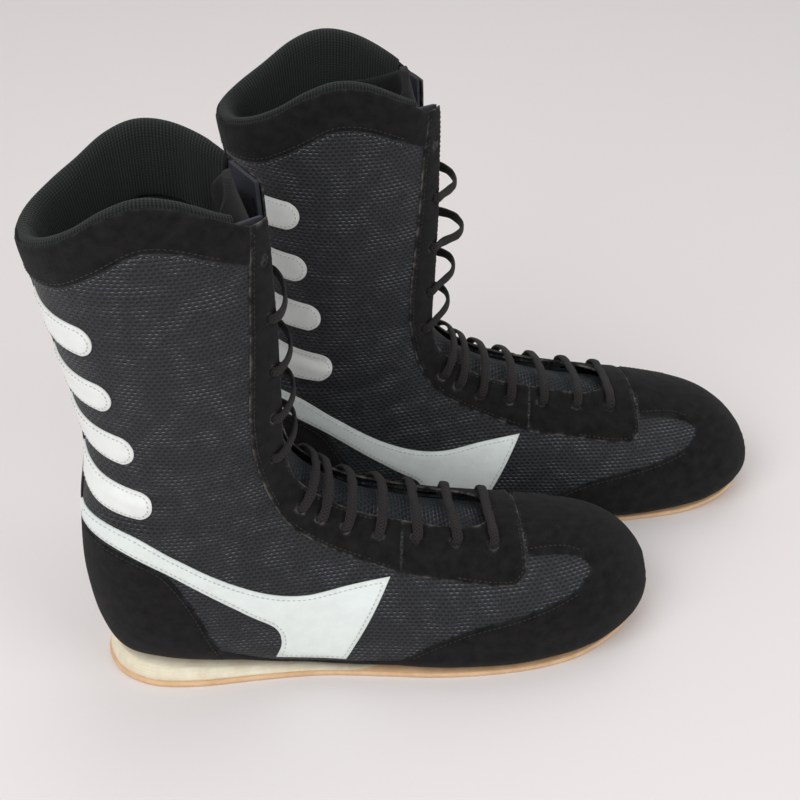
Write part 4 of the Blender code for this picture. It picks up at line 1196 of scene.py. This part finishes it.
def build_tongue(boot):
    """The tongue in two pieces that meet behind the ankle's laces: the base, and the upper flap."""
    spans = (
        ("tongue_base", np.linspace(6.6, 18.6, 50), 5.0, 1.8, 24.0, "tongue_mesh", "ankle"),
        ("tongue", 28.3 - 11.8 * np.linspace(1, 0, 60) ** 1.5, 7.2, 3.8, 33.0, "tongue", "hinge"),
    )
    for name, numbers, depth, thickness, width, look, where in spans:
        is_flap = name == "tongue"
        count, rings, centres = 25, [], []
        for number in numbers:
            end = min(1.0, (numbers[-1] - number) / 1.3 if is_flap else number - numbers[0])
            reach = width * math.sqrt(1 - 0.95 * (1 - end) ** 2)
            across = np.linspace(-reach, reach, count)
            row = [over_throat(number, float(y), 0.0) for y in across]
            centres.append(np.mean([r[0] for r in row], axis=0))
            puffs = 0.3 + thickness * np.sqrt(np.clip(1 - np.abs(across / reach) ** 3, 0, 1))
            extra = 1.0 + 0.45 * max(0.0, number - 25.8) if is_flap else 1.0
            depths = depth * extra + (4.5 if is_flap else 0.0) * np.abs(across / width) ** 3
            front = [point - normal * d for (point, normal, _), d in zip(row, depths)]
            back = [point - normal * d for (point, normal, _), d in zip(row, depths + puffs)]
            rings.append(front + back[::-1])
        along = run_length(centres) / 10
        piece = boot.skin(
            name, rings, lambda r, k: (min(k, 2 * count - k) * 0.2, along[r]), look, where, (name,)
        )


def build_lace(boot, name, numbers, first_side, body, bulges, tail):
    """A flat lace that crosses at each row of eyelets and climbs under a flap to the next row."""
    places = []
    side = first_side
    height = 2.3
    for number, bulge in zip(numbers, bulges):
        wander = float(random.uniform(-0.10, 0.10))
        bar = [
            (number, EYELET_Y + 0.3, -3.0), (number, EYELET_Y + 0.2, 0.2),
            (number - 0.02, EYELET_Y - 0.6, height), (number + wander * 0.5, FLAP_Y + 1.5, height + 1.2),
            (number + wander, 8.0, 1.6 + bulge * 0.75),
        ]
        places += [(n, side * y, h) for n, y, h in bar]
        places.append((number + wander * 1.2, 0.0, 0.8 + bulge))
        places += [(n - wander * 0.3, -side * y, h) for n, y, h in bar[::-1]]
        side = -side
    places.append((tail, side * EYELET_Y, -3.0))
    found = [over_throat(*place) for place in places]
    control = np.array([f[0] for f in found])
    path = spline(control, LACE_STEP)
    ways = carried(control, np.array([f[2] for f in found]), LACE_STEP)
    tangents = np.gradient(path, axis=0)
    tangents /= np.linalg.norm(tangents, axis=1, keepdims=True)
    rights, last = [], ways[0]
    for tangent, way in zip(tangents, ways):
        right = way - (way @ tangent) * tangent
        if np.linalg.norm(right) < 0.45:
            right = last - (last @ tangent) * tangent
        right /= np.linalg.norm(right)
        if right @ last < 0:
            right = -right
        right = 0.5 * right + 0.5 * last
        right -= (right @ tangent) * tangent
        last = right / np.linalg.norm(right)
        rights.append(last)
    angles = np.linspace(0, 2 * math.pi, 14, endpoint=False)
    wide, thick = np.sign(np.cos(angles)) * np.abs(np.cos(angles)) ** 0.7, LACE_HALF_THICK * np.sin(angles)
    profiles = [
        np.stack([(LACE_HALF_WIDTH + 0.15 * math.sin(k * 0.7)) * wide, thick], 1) for k in range(len(path))
    ]
    ups = np.cross(tangents, rights)
    piece = boot.sweep(name, path, np.array(rights), ups, profiles, "lace", body, (name,))
    row_path = boot.place(path)


def carried(control, values, step):
    """Directions carried along the line that spline(control, step) gives."""
    made = []
    for k in range(len(control) - 1):
        count = max(1, round(float(np.linalg.norm(control[k + 1] - control[k])) / step))
        t = (np.arange(count) / count)[:, None]
        made.append(values[k] * (1 - t) + values[k + 1] * t)
    made = np.concatenate([*made, values[-1:]])
    return made / np.linalg.norm(made, axis=1, keepdims=True)


# ---------------------------------------------------------------- sole

def sole_low(x):
    """Height of the outsole's underside, which curls up at the toe."""
    share = np.clip(x - SPRING_START_X, 0, None) / (TOE_TIP_X - SPRING_START_X)
    return TOE_SPRING * share**3


def wedge_top(x):
    """Height of the midsole's top, which falls from the heel to the feathered end."""
    share = np.clip((WEDGE_END_X - x) / (WEDGE_END_X - WEDGE_START_X), 0, 1)
    return OUTSOLE + 0.1 + WEDGE_AT_HEEL * share


def sole_layer(
    boot, name, last, low, high, look, where, nodes, first, rounding=0.6, inset=0.0, lean=0.0, pinch=0.0,
):
    """A sole layer on the plan: rings round its edge with rounded corners, and flat top and bottom."""
    xs = first + (last - first) * (1 - np.cos(np.linspace(0, math.pi, 150))) / 2
    plan = spline(SOLE_PLAN, 1.0)
    plan = plan[np.argsort(plan[:, 0])]
    outer, inner = (np.interp(xs, plan[:, 0], plan[:, k]) for k in (1, 2))
    ring_x = np.concatenate((xs, xs[::-1]))
    ring_y = np.concatenate((outer, inner[::-1]))
    middle = np.concatenate((outer + inner, (outer + inner)[::-1])) / 2
    tail = np.clip((ring_x - WEDGE_END_X) / TAIL, 0, 1)
    ring_y = middle + (ring_y - middle) * (1 - pinch * tail**2)
    way = np.stack([np.gradient(ring_x), np.gradient(ring_y)], 1)
    way /= np.maximum(np.linalg.norm(way, axis=1, keepdims=True), 1e-9)
    steps = (
        (0.0, -rounding * 1.6), (0.08, -rounding * 0.6), (0.25, 0.05), (0.5, 0.12), (0.75, 0.05),
        (0.92, -rounding * 0.5), (1.0, -rounding * 1.5),
    )
    distance = run_length(np.stack([ring_x, ring_y], 1)) / 10
    bottoms, tops = low(ring_x), high(ring_x)
    points, flat = [], []
    for share, shift in steps:
        z = bottoms + (tops - bottoms) * share
        push = shift - inset - lean * share**2
        points.append(np.stack([ring_x + way[:, 1] * push, ring_y - way[:, 0] * push, z], 1))
        flat.append(np.stack([distance, z / 10], 1))
    points, flat = np.concatenate(points), np.concatenate(flat)
    count, top = len(ring_x), (len(steps) - 1) * len(ring_x)
    starts = [r * count + k for r in range(len(steps) - 1) for k in range(count - 1)]
    faces = [(a, a + 1, a + 1 + count, a + count) for a in starts]
    uvs = [flat[list(face)].tolist() for face in faces]
    for base, turn in ((0, -1), (top, 1)):
        for k in range(count // 2 - 1):
            face = (base + k, base + k + 1, base + count - 2 - k, base + count - 1 - k)[::turn]
            faces.append(face)
            uvs.append((points[list(face), :2] / 10).tolist())
    heel = [(a, a + count, a + 2 * count - 1, a + count - 1) for a in range(0, top, count)]
    boot.piece(name, points, faces + heel, uvs + [[(0, 0)] * 4] * len(heel), look, where, nodes, sharp=50)


def build_sole(boot):
    """The outsole, the midsole wedge and the dished footbed."""
    sole_layer(
        boot, "outsole", 285.6, sole_low, lambda x: sole_low(x) + OUTSOLE, "gum", "ball",
        ("outsole", "outsole_toe"), first=2.4,
    )
    sole_layer(
        boot, "midsole", WEDGE_END_X + TAIL, lambda x: np.full_like(x, OUTSOLE),
        lambda x: wedge_top(x) + 0.3 + HEEL_CURL * np.clip(1 - x / WEDGE_START_X, 0, 1) ** 2, "foam", "foot",
        ("midsole",), first=2.6, rounding=0.5, inset=0.8, lean=3.2, pinch=0.35,
    )
    numbers = np.linspace(34, 262, 60)
    outer, inner = (np.interp(numbers, SOLE_PLAN[:, 0], SOLE_PLAN[:, k]) for k in (1, 2))
    ring = np.linspace(-1, 1, 17)
    dish = 2.4 - 1.6 * (1 - np.abs(ring) ** 4) + 0.6 * ring**2
    across, rise = np.concatenate((ring, 0.97 * ring[::-1])), np.concatenate((dish, np.full(len(ring), -1.4)))
    rings = []
    for x, low, high in zip(numbers, outer + FOOTBED_INSET, inner - FOOTBED_INSET):
        reach = (high - low) / 2 * min(1.0, (x - 33) / 14, (263 - x) / 16) ** 0.5
        base = max(float(wedge_top(x)), float(sole_low(x)) + OUTSOLE) + 13.2
        rings.append(np.stack([np.full(len(across), x), (low + high) / 2 + across * reach, base + rise], 1))
    boot.skin(
        "footbed", rings, lambda r, k: (numbers[r] / 10, k * 0.4), "lining", "ball",
        ("footbed", "footbed_toe"), sharp=50,
    )


# ---------------------------------------------------------------- stage

def with_nodes(made):
    made.use_nodes = True
    return made.node_tree.nodes


def build_stage():
    """A plain pale floor, soft light and a camera that looks down on the boots from the right one's side."""
    scene = bpy.context.scene
    scene.view_settings.view_transform = "Standard"

    def add(name, data):
        made = bpy.data.objects.new(name, data)
        scene.collection.objects.link(made)
        return made

    mesh = bpy.data.meshes.new("floor")
    corners = ((-FLOOR, -FLOOR, 0), (FLOOR, -FLOOR, 0), (FLOOR, FLOOR, 0), (-FLOOR, FLOOR, 0))
    mesh.from_pydata(corners, [], [(0, 1, 2, 3)])
    paint = bpy.data.materials.new("floor")
    inputs = with_nodes(paint)["Principled BSDF"].inputs
    inputs["Base Color"].default_value = (0.80, 0.765, 0.76, 1)
    inputs["Roughness"].default_value = 0.7
    mesh.materials.append(paint)
    add("floor", mesh)
    scene.world = bpy.data.worlds.new("studio")
    inputs = with_nodes(scene.world)["Background"].inputs
    inputs[0].default_value = (1.0, 0.985, 0.98, 1)
    inputs[1].default_value = 0.50
    for name, place, width, power in LAMPS:
        lamp = bpy.data.lights.new(name, "AREA")
        lamp.size, lamp.energy = width, power
        made = add(name, lamp)
        made.location = place
        made.rotation_euler = (LAMP_TARGET - Vector(place)).to_track_quat("-Z", "Y").to_euler()
    camera = bpy.data.cameras.new("camera")
    camera.sensor_width, camera.lens = 36, 72
    scene.camera = add("camera", camera)
    scene.camera.location = CAMERA_PLACE
    scene.camera.rotation_euler = (math.radians(90 - CAMERA_DOWN), 0, 0)


def finish_nodes():
    """Procedural materials for the hidden CAD pieces that stay."""
    for name, made in frame["nodes"].items():
        if name.endswith(("insole_board", "heel_stiffener", "toe_puff")):
            for slot in made.material_slots:
                slot.material = LOOKS["board" if name.endswith("insole_board") else "stiffener"][0]


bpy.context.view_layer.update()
build_stage()
for boot, press, high_bars in (
    (Boot("right", False, 0.0), 0.0, (2.0, 3.0, 3.0, 2.0)),
    (Boot("left", True, LEFT_LEAN), LEFT_PRESS, (6.0, 9.0, 13.0, 8.0)),
):
    # The surface of the boot that is being drawn.
    SECTIONS = pressed(press)
    OUTER, INNER = Half(-1), Half(1)
    HALVES = {-1: OUTER, 1: INNER}
    flat_bars = (0.0,) * len(FOOT_EYELETS)
    build_lace(boot, "lace_foot", FOOT_EYELETS, -1, "foot", flat_bars, FOOT_EYELETS[-1] + 0.6)
    build_lace(boot, "lace_shaft", SHAFT_EYELETS, 1, "shaft", high_bars, SHAFT_EYELETS[-1] + 1.0)
    for build in (
        build_mesh, build_lining, build_eyestays, build_throat, build_band, build_heel, build_toe_cap,
        build_collar, build_tongue, build_sole,
    ):
        build(boot)
finish_nodes()
